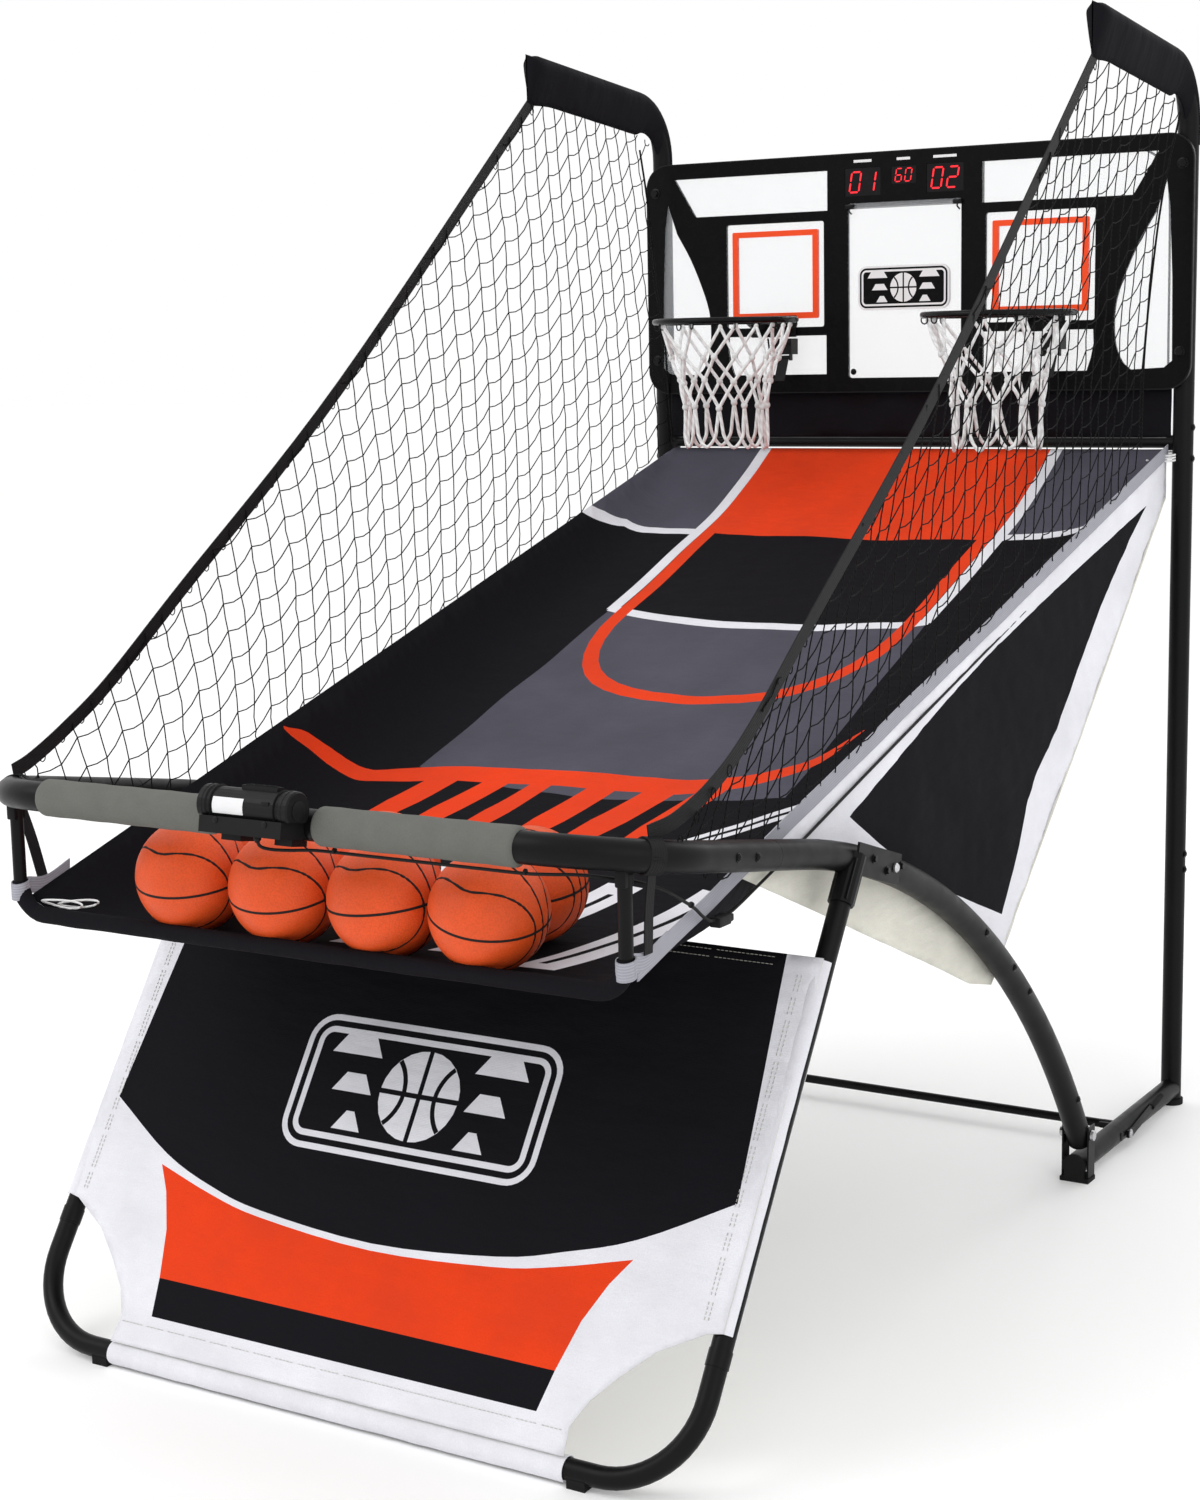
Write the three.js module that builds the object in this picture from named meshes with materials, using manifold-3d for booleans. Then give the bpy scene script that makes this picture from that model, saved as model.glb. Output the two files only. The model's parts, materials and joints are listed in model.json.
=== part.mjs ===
// Two-player folding basketball hoop machine, in millimetres, +Z up.
// +X is the player's right, -Y faces the player, and the object stands on Z = 0.
// Inside the model Y = 0 is the line of the rear uprights; the whole object is then shifted
// along Y so that the origin is at the centre of its bounding box on the floor.
import * as THREE from "three";
import { mergeVertices } from "three/addons/utils/BufferGeometryUtils.js";
import Module from "manifold-3d";

const wasm = await Module();
wasm.setup();

// ---------------------------------------------------------------- driving dimensions
const HALF_WIDTH = 549; // uprights, floor rails, arc legs and net arms from the middle plane
const GAP = 0.3; // clearance between pieces that touch
const LEFT = -1;
const RIGHT = 1;
const SIDES = [
  { name: "left", sign: LEFT },
  { name: "right", sign: RIGHT },
];

// rear frame
const UPRIGHT_RADIUS = 19;
const UPRIGHT_WALL = 1.5;
const UPRIGHT_BOTTOM = 11;
const UPRIGHT_JOINT = 1374; // height of the seam between the lower upright and the net arm
const ARM_CORNER_HEIGHT = 1929; // where the upright line and the arm line meet
const ARM_BEND_RADIUS = 110;
const ARM_TIP = { y: -473, z: 1975 };
const FLOOR_RAIL_HEIGHT = 30;
const FLOOR_RAIL_FRONT = -516;
const FLOOR_CROSSBAR = { y: -272, z: 30, radius: 8 };
const REAR_CROSSBAR = { y: 0, z: 1262, radius: 10 };

// fold hinge and arc legs
const TUBE_RADIUS = 21; // arc legs and the front rail
const TUBE_WALL = 1.8;
const ARC_CENTRE = { y: -1837, z: -794 };
const ARC_RADIUS = 1596;
const RAIL_SLOPE = THREE.MathUtils.degToRad(9.9); // rise of the front rail towards the player
const ARC_FOOT_ANGLE = THREE.MathUtils.degToRad(57.3);
const FOLD_PIVOT_ANGLE = THREE.MathUtils.degToRad(56.62);
const FOLD_BOLT_RADIUS = 6;
const SEAM_Y = -1658; // where the arc leg meets the front rail

// front rail
const RAIL_LENGTH = 351.2; // seam to the middle of the front bar, along the slope
const RAIL_CORNER_RADIUS = 155;
const FOAM_RADIUS = 26;
const FOAM_FROM_CENTRE = 85;
const FOAM_LENGTH = 307;

// front legs
const LEG_HALF_WIDTH = 560; // a little wider than the arc legs that carry them
const LEG_RADIUS = 15;
const LEG_WALL = 1.5;
const LEG_LEAN = THREE.MathUtils.degToRad(34.4);
const LEG_TOP = { y: -1449, z: 721 }; // on the leg's centre line, just under the rail
const LEG_LENGTH = 849.6; // from LEG_TOP to the middle of the bottom bar
const LEG_CORNER_RADIUS = 125;
const LEG_PIVOT_Y = -1322;
const LEG_PIN_RADIUS = 4;
const SOCKET_RADIUS = 18.5;

// backboard and scorer
const BOARD = { halfWidth: 568, bottom: 1362, top: 1816, corner: 45, front: -29.5, back: -19.5 };
const DISPLAYS = [
  { x: -86, z: 1763, width: 76, height: 54 },
  { x: 0, z: 1772, width: 52, height: 34 },
  { x: 86, z: 1763, width: 76, height: 54 },
];
const SCORER = { halfWidth: 145, bottom: 1715, top: 1810, back: 20, wall: 3 };

// hoops
const HOOP = { x: 280, y: -234, z: 1502, radius: 135, wire: 6 };
const NET_TOP_RADIUS = 126;
const NET_BOTTOM_RADIUS = 87;
const NET_LENGTH = 232;
const SENSOR_OFFSET = 32; // score switch from the middle of its hoop

// ramp and tray
const EDGE_REAR = { x: 522, y: -12, z: 1251 };
const EDGE_FRONT = { x: 500, y: -1937, z: 692 };
const RAMP_FLOOR = [
  [-12, 1250, 514],
  [-150, 1170, 492],
  [-311, 1099, 474],
  [-600, 992, 462],
  [-950, 868, 458],
  [-1287, 752, 456],
  [-1560, 680, 454],
  [-1740, 659, 450],
  [-1895, 659, 445],
  [-1937, 664, 440],
]; // along, height and half width of the floor
const FABRIC = 4;
const TRAY = { x: 505, y: -1950, top: 822, bottom: 670, radius: 9.5, corner: 45 };

// balls
const BALL_RADIUS = 80;
const BALL_HEIGHT = 740;
const BALL_ROWS = [
  { y: -1895, xs: [-228, -62, 105, 268] },
  { y: -1738, xs: [-272, -16, 228] },
];

// ---------------------------------------------------------------- materials
function material(colour, roughness, metalness) {
  return new THREE.MeshStandardMaterial({ color: colour, roughness, metalness });
}
const MATERIALS = {
  blackSteel: () => material(0x232325, 0.45, 0.6),
  zincSteel: () => material(0xb4b4b8, 0.35, 0.9),
  blackPlastic: () => material(0x1c1c1e, 0.5, 0.0),
  rubber: () => material(0x151515, 0.9, 0.0),
  foam: () => material(0x80817c, 0.95, 0.0),
  board: () => material(0x18181b, 0.3, 0.0),
  lens: () => material(0x3a0a10, 0.2, 0.0),
  whiteCord: () => material(0xe6e6e6, 0.9, 0.0),
  blackFabric: () => material(0x1b1a20, 0.9, 0.0),
  whiteFabric: () => material(0xe9e9ee, 0.85, 0.0),
  net: () => material(0x141416, 0.9, 0.0),
  ball: () => material(0xe8612f, 0.75, 0.0),
};

// ---------------------------------------------------------------- solids
function toSolid(geometry) {
  const bare = geometry.clone();
  bare.deleteAttribute("normal");
  bare.deleteAttribute("uv");
  const merged = mergeVertices(bare, 1e-4);
  const mesh = new wasm.Mesh({
    numProp: 3,
    vertProperties: merged.attributes.position.array,
    triVerts: new Uint32Array(merged.index.array),
  });
  return new wasm.Manifold(mesh);
}

function toGeometry(solid) {
  const mesh = solid.getMesh();
  const geometry = new THREE.BufferGeometry();
  geometry.setAttribute("position", new THREE.BufferAttribute(mesh.vertProperties, 3));
  geometry.setIndex(new THREE.BufferAttribute(mesh.triVerts, 1));
  geometry.computeVertexNormals();
  return geometry;
}

function join(...geometries) {
  return toGeometry(geometries.map(toSolid).reduce((a, b) => a.add(b)));
}

function cut(geometry, ...tools) {
  return toGeometry(tools.map(toSolid).reduce((a, b) => a.subtract(b), toSolid(geometry)));
}

// A box between two corners.
function box(low, high) {
  const size = high.map((v, i) => v - low[i]);
  const geometry = new THREE.BoxGeometry(...size);
  return geometry.translate(...low.map((v, i) => v + size[i] / 2));
}

// A cylinder along X, centred on x, y, z.
function rodX(radius, length, x, y, z, sides = 16) {
  const geometry = new THREE.CylinderGeometry(radius, radius, length, sides);
  return geometry.rotateZ(Math.PI / 2).translate(x, y, z);
}

// A cylinder along Z, centred on x, y, z.
function rodZ(radius, length, x, y, z, sides = 16) {
  const geometry = new THREE.CylinderGeometry(radius, radius, length, sides);
  return geometry.rotateX(Math.PI / 2).translate(x, y, z);
}

// A body turned about the X axis from a list of [radius, x] points.
function turnedX(profile, segments) {
  const points = profile.map(([radius, along]) => new THREE.Vector2(radius, -along));
  return new THREE.LatheGeometry(points.reverse(), segments).rotateZ(Math.PI / 2);
}

// A plate drawn in the Y-Z plane and given a thickness along X from x.
function sidePlate(outline, x, thickness) {
  const shape = new THREE.Shape(outline.map(([y, z]) => new THREE.Vector2(y, z)));
  const geometry = new THREE.ExtrudeGeometry(shape, { depth: thickness, bevelEnabled: false });
  const axes = [new THREE.Vector3(0, 1, 0), new THREE.Vector3(0, 0, 1), new THREE.Vector3(1, 0, 0)];
  return geometry.applyMatrix4(new THREE.Matrix4().makeBasis(...axes)).translate(x, 0, 0);
}

// A plate drawn in the X-Z plane and given a thickness towards -Y from y.
function frontPlate(shape, y, thickness) {
  const geometry = new THREE.ExtrudeGeometry(shape, {
    depth: thickness,
    bevelEnabled: false,
    curveSegments: 6,
  });
  return geometry.rotateX(Math.PI / 2).translate(0, y, 0);
}

function circlePoints(radius, sides) {
  const points = [];
  for (let i = 0; i < sides; i++) {
    const angle = (2 * Math.PI * i) / sides;
    points.push(new THREE.Vector2(radius * Math.cos(angle), radius * Math.sin(angle)));
  }
  return points;
}

// A path through given stations, with one step of the sweep at each of them.
class StationPath extends THREE.Curve {
  constructor(stations) {
    super();
    this.stations = stations;
  }
  getUtoTmapping(u) {
    return u;
  }
  getPoint(t, target = new THREE.Vector3()) {
    const place = t * (this.stations.length - 1);
    const i = Math.min(Math.floor(place), this.stations.length - 2);
    return target.lerpVectors(this.stations[i], this.stations[i + 1], place - i);
  }
  getTangent(t, target = new THREE.Vector3()) {
    const last = this.stations.length - 1;
    const i = Math.round(t * last);
    const here = this.stations[i];
    const ahead = this.stations[Math.min(i + 1, last)].clone().sub(here).normalize();
    const behind = here.clone().sub(this.stations[Math.max(i - 1, 0)]).normalize();
    return target.addVectors(ahead, behind).normalize();
  }
}

// A round tube, or a solid bar when the wall is 0, along a list of stations.
function tubeAlong(stations, radius, wall, sides = 12) {
  const shape = new THREE.Shape(circlePoints(radius, sides));
  if (wall > 0) shape.holes.push(new THREE.Path(circlePoints(radius - wall, sides)));
  return new THREE.ExtrudeGeometry(shape, {
    steps: stations.length - 1,
    extrudePath: new StationPath(stations),
    bevelEnabled: false,
  });
}

// A polyline with each inner corner rounded to a radius.
function filleted(corners, radius, steps) {
  const stations = [corners[0]];
  for (let i = 1; i < corners.length - 1; i++) {
    const into = corners[i].clone().sub(corners[i - 1]).normalize();
    const out = corners[i + 1].clone().sub(corners[i]).normalize();
    const turn = into.angleTo(out);
    const setback = radius * Math.tan(turn / 2);
    const start = corners[i].clone().addScaledVector(into, -setback);
    const inward = out.clone().addScaledVector(into, -into.dot(out)).normalize();
    for (let k = 0; k <= steps; k++) {
      const angle = (turn * k) / steps;
      const point = start.clone().addScaledVector(into, radius * Math.sin(angle));
      stations.push(point.addScaledVector(inward, radius * (1 - Math.cos(angle))));
    }
  }
  stations.push(corners.at(-1));
  return stations;
}

// A sheet of constant offset over a grid of points, closed all round.
function thickSheet(rows, offset) {
  const columns = rows[0].length;
  const positions = [];
  for (const shift of [new THREE.Vector3(), offset]) {
    for (const row of rows) {
      for (const point of row) positions.push(...point.clone().add(shift).toArray());
    }
  }
  const under = rows.length * columns;
  const at = (i, j) => i * columns + j;
  const indices = [];
  const quad = (a, b, c, d) => indices.push(a, b, c, a, c, d); // split along a-c
  for (let i = 0; i < rows.length - 1; i++) {
    for (let j = 0; j < columns - 1; j++) {
      const [a, b, c, d] = [at(i, j), at(i + 1, j), at(i + 1, j + 1), at(i, j + 1)];
      quad(a, b, c, d);
      quad(a + under, d + under, c + under, b + under);
    }
    quad(at(i, 0), at(i, 0) + under, at(i + 1, 0) + under, at(i + 1, 0));
    const edge = columns - 1;
    quad(at(i + 1, edge), at(i + 1, edge) + under, at(i, edge) + under, at(i, edge));
  }
  for (let j = 0; j < columns - 1; j++) {
    const last = rows.length - 1;
    quad(at(0, j + 1), at(0, j + 1) + under, at(0, j) + under, at(0, j));
    quad(at(last, j), at(last, j) + under, at(last, j + 1) + under, at(last, j + 1));
  }
  const geometry = new THREE.BufferGeometry();
  geometry.setAttribute("position", new THREE.Float32BufferAttribute(positions, 3));
  geometry.setIndex(indices);
  geometry.computeVertexNormals();
  return geometry;
}

const point = (x, y, z) => new THREE.Vector3(x, y, z);

// Point of the arc leg's centre line where its slope is the given angle below horizontal.
function arcPoint(x, angle) {
  return point(
    x,
    ARC_CENTRE.y + ARC_RADIUS * Math.sin(angle),
    ARC_CENTRE.z + ARC_RADIUS * Math.cos(angle),
  );
}

// Height of the ramp's side edge at a place along its length.
function edgeAt(y) {
  const part = (y - EDGE_REAR.y) / (EDGE_FRONT.y - EDGE_REAR.y);
  return {
    x: THREE.MathUtils.lerp(EDGE_REAR.x, EDGE_FRONT.x, part),
    z: THREE.MathUtils.lerp(EDGE_REAR.z, EDGE_FRONT.z, part),
  };
}

// ---------------------------------------------------------------- scene graph
const group = new THREE.Group();
const model = new THREE.Group();
group.add(model);

function addPart(parent, name, geometry, kind) {
  const mesh = new THREE.Mesh(geometry, MATERIALS[kind]());
  mesh.name = name;
  parent.add(mesh);
  return mesh;
}

const FOLD_PIVOT = arcPoint(0, FOLD_PIVOT_ANGLE);
const ARC_TOP = arcPoint(0, RAIL_SLOPE);
const SEAM_Z = ARC_TOP.z + (ARC_TOP.y - SEAM_Y) * Math.tan(RAIL_SLOPE);
const LEG_PIVOT = arcPoint(0, Math.asin((LEG_PIVOT_Y - ARC_CENTRE.y) / ARC_RADIUS));

// ---------------------------------------------------------------- rear frame
function addRearFrame() {
  for (const { name, sign } of SIDES) {
    const x = sign * HALF_WIDTH;
    const lower = [point(x, 0, UPRIGHT_BOTTOM), point(x, 0, UPRIGHT_JOINT)];
    addPart(model, `upright_${name}`, tubeAlong(lower, UPRIGHT_RADIUS, UPRIGHT_WALL), "blackSteel");

    const armCorners = [
      point(x, 0, UPRIGHT_JOINT + GAP),
      point(x, 0, ARM_CORNER_HEIGHT),
      point(x, ARM_TIP.y, ARM_TIP.z),
    ];
    const arm = tubeAlong(filleted(armCorners, ARM_BEND_RADIUS, 6), UPRIGHT_RADIUS, UPRIGHT_WALL);
    addPart(model, `net_arm_${name}`, arm, "blackSteel");

    const ends = [
      point(x, FLOOR_RAIL_FRONT, FLOOR_RAIL_HEIGHT),
      point(x, -UPRIGHT_RADIUS * 0.6, FLOOR_RAIL_HEIGHT),
    ];
    const rail = cut(
      tubeAlong(ends, UPRIGHT_RADIUS, UPRIGHT_WALL),
      rodZ(UPRIGHT_RADIUS + GAP, 120, x, 0, FLOOR_RAIL_HEIGHT, 24),
    );
    addPart(model, `floor_rail_${name}`, rail, "blackSteel");

    const footHeight = UPRIGHT_BOTTOM - GAP;
    const foot = join(
      rodZ(23, footHeight, x, 0, footHeight / 2),
      rodZ(UPRIGHT_RADIUS - UPRIGHT_WALL - 1, 25, x, 0, footHeight + 10),
    );
    addPart(model, `rear_foot_${name}`, foot, "rubber");
    addClevis(name, x);
    addLockLever(name, sign);
  }

  const reach = 2 * (HALF_WIDTH - UPRIGHT_RADIUS * 0.4);
  for (const [name, bar] of [
    ["floor_crossbar", FLOOR_CROSSBAR],
    ["rear_crossbar", REAR_CROSSBAR],
  ]) {
    const solid = rodX(bar.radius, reach, 0, bar.y, bar.z, 12);
    const tools = SIDES.map(({ sign }) =>
      bar === REAR_CROSSBAR
        ? rodZ(UPRIGHT_RADIUS + GAP, 80, sign * HALF_WIDTH, 0, bar.z, 24)
        : rodZ(UPRIGHT_RADIUS + GAP, 80, 0, 0, 0, 24)
            .rotateX(Math.PI / 2)
            .translate(sign * HALF_WIDTH, bar.y, FLOOR_RAIL_HEIGHT),
    );
    addPart(model, name, cut(solid, ...tools), "blackSteel");
  }
}

// U-shaped hinge bracket on the front end of a floor rail, with its rubber foot.
function addClevis(name, x) {
  const inner = TUBE_RADIUS + 0.6;
  const plate = 3;
  const outer = inner + plate;
  const bottom = FLOOR_RAIL_HEIGHT - UPRIGHT_RADIUS - plate;
  const top = FOLD_PIVOT.z + 16;
  const front = FLOOR_RAIL_FRONT;
  const rear = FOLD_PIVOT.y + 18;
  const bracket = cut(
    box([x - outer, front, bottom], [x + outer, rear, top]),
    box([x - inner, front - 5, bottom + plate - GAP], [x + inner, rear + 5, top + 5]),
    rodX(FOLD_BOLT_RADIUS + 0.2, 80, x, FOLD_PIVOT.y, FOLD_PIVOT.z),
  );
  addPart(model, `clevis_${name}`, bracket, "blackSteel");

  const capThickness = 5;
  const capBack = front - GAP;
  const capFront = capBack - capThickness;
  const cap = new THREE.CylinderGeometry(20, 20, capThickness, 16);
  cap.translate(x, capBack - capThickness / 2, FLOOR_RAIL_HEIGHT);
  const padTop = bottom - GAP;
  const foot = join(
    cap,
    box([x - 18, capFront, 0], [x + 18, capBack, FLOOR_RAIL_HEIGHT]),
    box([x - 26, capFront, 0], [x + 26, rear, padTop]),
  );
  addPart(model, `front_foot_${name}`, foot, "rubber");

  const shaft = outer + 1;
  const bolt = turnedX(
    [
      [0, -shaft - 5],
      [9, -shaft - 5],
      [9.5, -shaft],
      [FOLD_BOLT_RADIUS, -shaft],
      [FOLD_BOLT_RADIUS, shaft],
      [9.5, shaft],
      [9, shaft + 5],
      [0, shaft + 5],
    ],
    16,
  );
  bolt.translate(x, FOLD_PIVOT.y, FOLD_PIVOT.z);
  addPart(model, `pivot_bolt_${name}`, bolt, "zincSteel");
}

// Locking lever on the outer side of a floor rail, pivoted at its front end.
function addLockLever(name, sign) {
  const pivot = { y: -299, z: 28 };
  const outline = [
    [pivot.y - 10, pivot.z - 6],
    [pivot.y + 12, pivot.z - 8],
    [pivot.y + 176, pivot.z + 19],
    [pivot.y + 174, pivot.z + 28],
    [pivot.y + 20, pivot.z + 6],
    [pivot.y - 8, pivot.z + 7],
  ];
  const inside = HALF_WIDTH + UPRIGHT_RADIUS + 0.8;
  const thickness = 5;
  const x = sign > 0 ? inside : -inside - thickness;
  addPart(model, `lock_lever_${name}`, sidePlate(outline, x, thickness), "blackSteel");
}

// ---------------------------------------------------------------- backboard, scorer and hoops
function roundedRectangle(left, bottom, width, height, corner) {
  const shape = new THREE.Shape();
  const [right, top] = [left + width, bottom + height];
  shape.moveTo(left + corner, bottom);
  shape.lineTo(right - corner, bottom);
  shape.absarc(right - corner, bottom + corner, corner, -Math.PI / 2, 0);
  shape.lineTo(right, top - corner);
  shape.absarc(right - corner, top - corner, corner, 0, Math.PI / 2);
  shape.lineTo(left + corner, top);
  shape.absarc(left + corner, top - corner, corner, Math.PI / 2, Math.PI);
  shape.lineTo(left, bottom + corner);
  shape.absarc(left + corner, bottom + corner, corner, Math.PI, 1.5 * Math.PI);
  return shape;
}

function addBackboard() {
  const shape = roundedRectangle(
    -BOARD.halfWidth,
    BOARD.bottom,
    2 * BOARD.halfWidth,
    BOARD.top - BOARD.bottom,
    BOARD.corner,
  );
  const board = frontPlate(shape, BOARD.back, BOARD.back - BOARD.front);
  const windows = DISPLAYS.map(({ x, z, width, height }) =>
    box([x - width / 2, -60, z - height / 2], [x + width / 2, 0, z + height / 2]),
  );
  addPart(model, "backboard", cut(board, ...windows), "board");

  const behind = BOARD.back + GAP;
  const lensMargin = 0.4;
  const lenses = DISPLAYS.map(({ x, z, width, height }) =>
    box(
      [x - width / 2 + lensMargin, BOARD.front + 1, z - height / 2 + lensMargin],
      [x + width / 2 - lensMargin, behind + 3, z + height / 2 - lensMargin],
    ),
  );
  const carrier = box([-134, behind, 1726], [134, behind + 4, 1800]);
  addPart(model, "display_module", join(carrier, ...lenses), "lens");

  const { halfWidth, bottom, top, back, wall } = SCORER;
  const housing = cut(
    box([-halfWidth, behind, bottom], [halfWidth, back + wall, top]),
    box([wall - halfWidth, behind - 5, bottom + wall], [halfWidth - wall, back, top - wall]),
  );
  addPart(model, "scorer_housing", housing, "blackPlastic");
}

function addHoop(name, sign) {
  const { y, z, radius, wire } = HOOP;
  const x = sign * HOOP.x;
  const boardFace = BOARD.front - GAP;
  const ring = new THREE.TorusGeometry(radius, wire, 8, 28).translate(x, y, z);
  const plate = box([x - 50, boardFace - 4, z - 32], [x + 50, boardFace, z + 10]);
  const tongue = box([x - 36, y + radius - 3, z - 3], [x + 36, boardFace - 1, z + 1]);
  addPart(model, `rim_${name}`, join(ring, plate, tongue), "blackSteel");

  const netTop = z - wire - 2;
  const net = new THREE.LatheGeometry(
    [
      [NET_TOP_RADIUS - 3, netTop],
      [NET_BOTTOM_RADIUS - 3, netTop - NET_LENGTH],
      [NET_BOTTOM_RADIUS, netTop - NET_LENGTH],
      [NET_TOP_RADIUS, netTop],
      [NET_TOP_RADIUS - 3, netTop],
    ].map(([r, h]) => new THREE.Vector2(r, h)),
    20,
  );
  net.rotateX(Math.PI / 2).translate(x, y, 0);
  addPart(model, `hoop_net_${name}`, net, "whiteCord");

  const middle = x + SENSOR_OFFSET;
  const sensorBottom = 1436;
  const hinge = { y: boardFace - 22, z: 1430 };
  const body = box([middle - 20, boardFace - 29, sensorBottom], [middle + 20, boardFace, z - 35]);
  const ears = SIDES.map((side) => {
    const inner = middle + side.sign * 14;
    const outer = middle + side.sign * 17;
    return box(
      [Math.min(inner, outer), hinge.y - 5, hinge.z - 6],
      [Math.max(inner, outer), hinge.y + 5, sensorBottom + 2],
    );
  });
  addPart(model, `score_sensor_${name}`, join(body, ...ears), "blackPlastic");

  const barrel = rodX(4, 27, middle, hinge.y, hinge.z, 16);
  const flap = box([middle - 11, -1.2, -50], [middle + 11, 1.2, 0]);
  flap.rotateX(THREE.MathUtils.degToRad(-24)).translate(0, hinge.y, hinge.z);
  addPart(model, `score_paddle_${name}`, join(barrel, flap), "blackPlastic");
}

// ---------------------------------------------------------------- front frame
function arcStations(x) {
  const steps = 11;
  const stations = [point(x, SEAM_Y, SEAM_Z)];
  for (let i = 0; i <= steps; i++) {
    stations.push(arcPoint(x, THREE.MathUtils.lerp(RAIL_SLOPE, ARC_FOOT_ANGLE, i / steps)));
  }
  return stations;
}

function addArcLeg(name, sign) {
  const x = sign * HALF_WIDTH;
  const leg = cut(
    tubeAlong(arcStations(x), TUBE_RADIUS, TUBE_WALL),
    rodX(FOLD_BOLT_RADIUS + 0.4, 80, x, FOLD_PIVOT.y, FOLD_PIVOT.z),
    rodX(LEG_PIN_RADIUS + 0.3, 80, x, LEG_PIVOT.y, LEG_PIVOT.z),
  );
  addPart(model, `arc_leg_${name}`, leg, "blackSteel");
}

// The sloping plane of the front rail: -Y runs forward along the rail from the seam.
const railPlane = new THREE.Group();
railPlane.position.set(0, SEAM_Y, SEAM_Z);
railPlane.rotation.x = -RAIL_SLOPE;
model.add(railPlane);

function addFrontRail() {
  const corners = [
    point(HALF_WIDTH, -GAP, 0),
    point(HALF_WIDTH, -RAIL_LENGTH, 0),
    point(-HALF_WIDTH, -RAIL_LENGTH, 0),
    point(-HALF_WIDTH, -GAP, 0),
  ];
  const rail = tubeAlong(filleted(corners, RAIL_CORNER_RADIUS, 6), TUBE_RADIUS, TUBE_WALL);
  addPart(railPlane, "front_rail", rail, "blackSteel");

  const half = FOAM_LENGTH / 2;
  const bore = TUBE_RADIUS + 0.6;
  for (const { name, sign } of SIDES) {
    const pad = turnedX(
      [
        [bore, -half],
        [FOAM_RADIUS - 2, -half],
        [FOAM_RADIUS, 3 - half],
        [FOAM_RADIUS, half - 3],
        [FOAM_RADIUS - 2, half],
        [bore, half],
        [bore, -half],
      ],
      20,
    );
    const mesh = addPart(railPlane, `foam_pad_${name}`, pad, "foam");
    mesh.position.set(sign * (FOAM_FROM_CENTRE + half), -RAIL_LENGTH, 0);
  }
}

function addControlUnit() {
  const middle = 7;
  const halfLength = 74;
  const seat = 29.7; // top of the base, where the barrel rests
  const unit = new THREE.Group();
  // The unit sits in front of the bar and a little above it. This is the bar's middle, seen from it.
  const bar = { y: 43.3, z: 26.6 };
  unit.position.set(middle, -RAIL_LENGTH - bar.y, -bar.z);
  railPlane.add(unit);

  const base = cut(
    join(
      box([-67, -24, 8], [67, bar.y, seat]),
      box([-58, 12, -2], [-26, bar.y, 9]),
      box([30, 12, -2], [58, bar.y, 9]),
    ),
    rodX(TUBE_RADIUS + GAP, 200, 0, bar.y, bar.z, 24),
  );
  addPart(unit, "control_base", base, "blackPlastic");

  const axis = 45;
  const button = { x: 15, halfLength: 29, halfWidth: 7, bottom: 60, top: 72.5 };
  const barrel = turnedX(
    [
      [0, -halfLength],
      [23, -halfLength],
      [25, 2 - halfLength],
      [25, 14 - halfLength],
      [23, 16 - halfLength],
      [23, halfLength - 16],
      [25, halfLength - 14],
      [25, halfLength - 2],
      [23, halfLength],
      [0, halfLength],
    ],
    24,
  ).translate(0, 0, axis);
  const housing = cut(
    barrel,
    rodX(20, 2 * halfLength - 8, 0, 0, axis),
    box([-90, -40, -10], [90, 40, seat + GAP]),
    box(
      [button.x - button.halfLength - 0.4, -button.halfWidth - 0.4, axis],
      [button.x + button.halfLength + 0.4, button.halfWidth + 0.4, 90],
    ),
  );
  addPart(unit, "control_housing", housing, "blackPlastic");
  const push = box(
    [button.x - button.halfLength, -button.halfWidth, button.bottom],
    [button.x + button.halfLength, button.halfWidth, button.top],
  );
  addPart(unit, "control_button", push, "blackPlastic");
}

function addTray() {
  const { x, y, top, bottom, radius, corner } = TRAY;
  const corners = [point(x, y, top), point(x, y, bottom), point(-x, y, bottom), point(-x, y, top)];
  addPart(model, "tray_tube", tubeAlong(filleted(corners, corner, 5), radius, 1.2, 10), "blackSteel");
}

// ---------------------------------------------------------------- front legs
// The plane of the front legs: -Z runs down the legs, -Y faces the player.
const legPlane = new THREE.Group();
legPlane.position.set(0, LEG_TOP.y, LEG_TOP.z);
legPlane.rotation.x = -LEG_LEAN;
model.add(legPlane);

function addFrontLegs() {
  const top = 4;
  const corners = [
    point(LEG_HALF_WIDTH, 0, top),
    point(LEG_HALF_WIDTH, 0, -LEG_LENGTH),
    point(-LEG_HALF_WIDTH, 0, -LEG_LENGTH),
    point(-LEG_HALF_WIDTH, 0, top),
  ];
  const frame = tubeAlong(filleted(corners, LEG_CORNER_RADIUS, 5), LEG_RADIUS, LEG_WALL);
  addPart(legPlane, "leg_frame", frame, "blackSteel");

  const face = -LEG_RADIUS - 1.5;
  const outline = [
    [-577, -98],
    [-577, -642],
    [-540, -652],
    [-437, -725],
    [-392, -790],
    [-392, -832],
    [392, -832],
    [392, -790],
    [437, -725],
    [540, -652],
    [577, -642],
    [577, -98],
  ];
  const banner = new THREE.Shape(outline.map(([x, z]) => new THREE.Vector2(x, z)));
  addPart(legPlane, "banner", frontPlate(banner, face, 3), "blackFabric");

  const barY = LEG_TOP.y - LEG_LENGTH * Math.sin(LEG_LEAN);
  const barZ = LEG_TOP.z - LEG_LENGTH * Math.cos(LEG_LEAN);
  for (const { name, sign } of SIDES) {
    const x = sign * 410;
    const bumper = cut(
      box([x - 14, barY - 14, 0], [x + 14, barY + 14, 15]),
      rodX(LEG_RADIUS + GAP, 60, x, barY, barZ),
    );
    addPart(model, `leg_bumper_${name}`, bumper, "rubber");
    addLegYoke(name, sign);
  }
}

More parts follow.
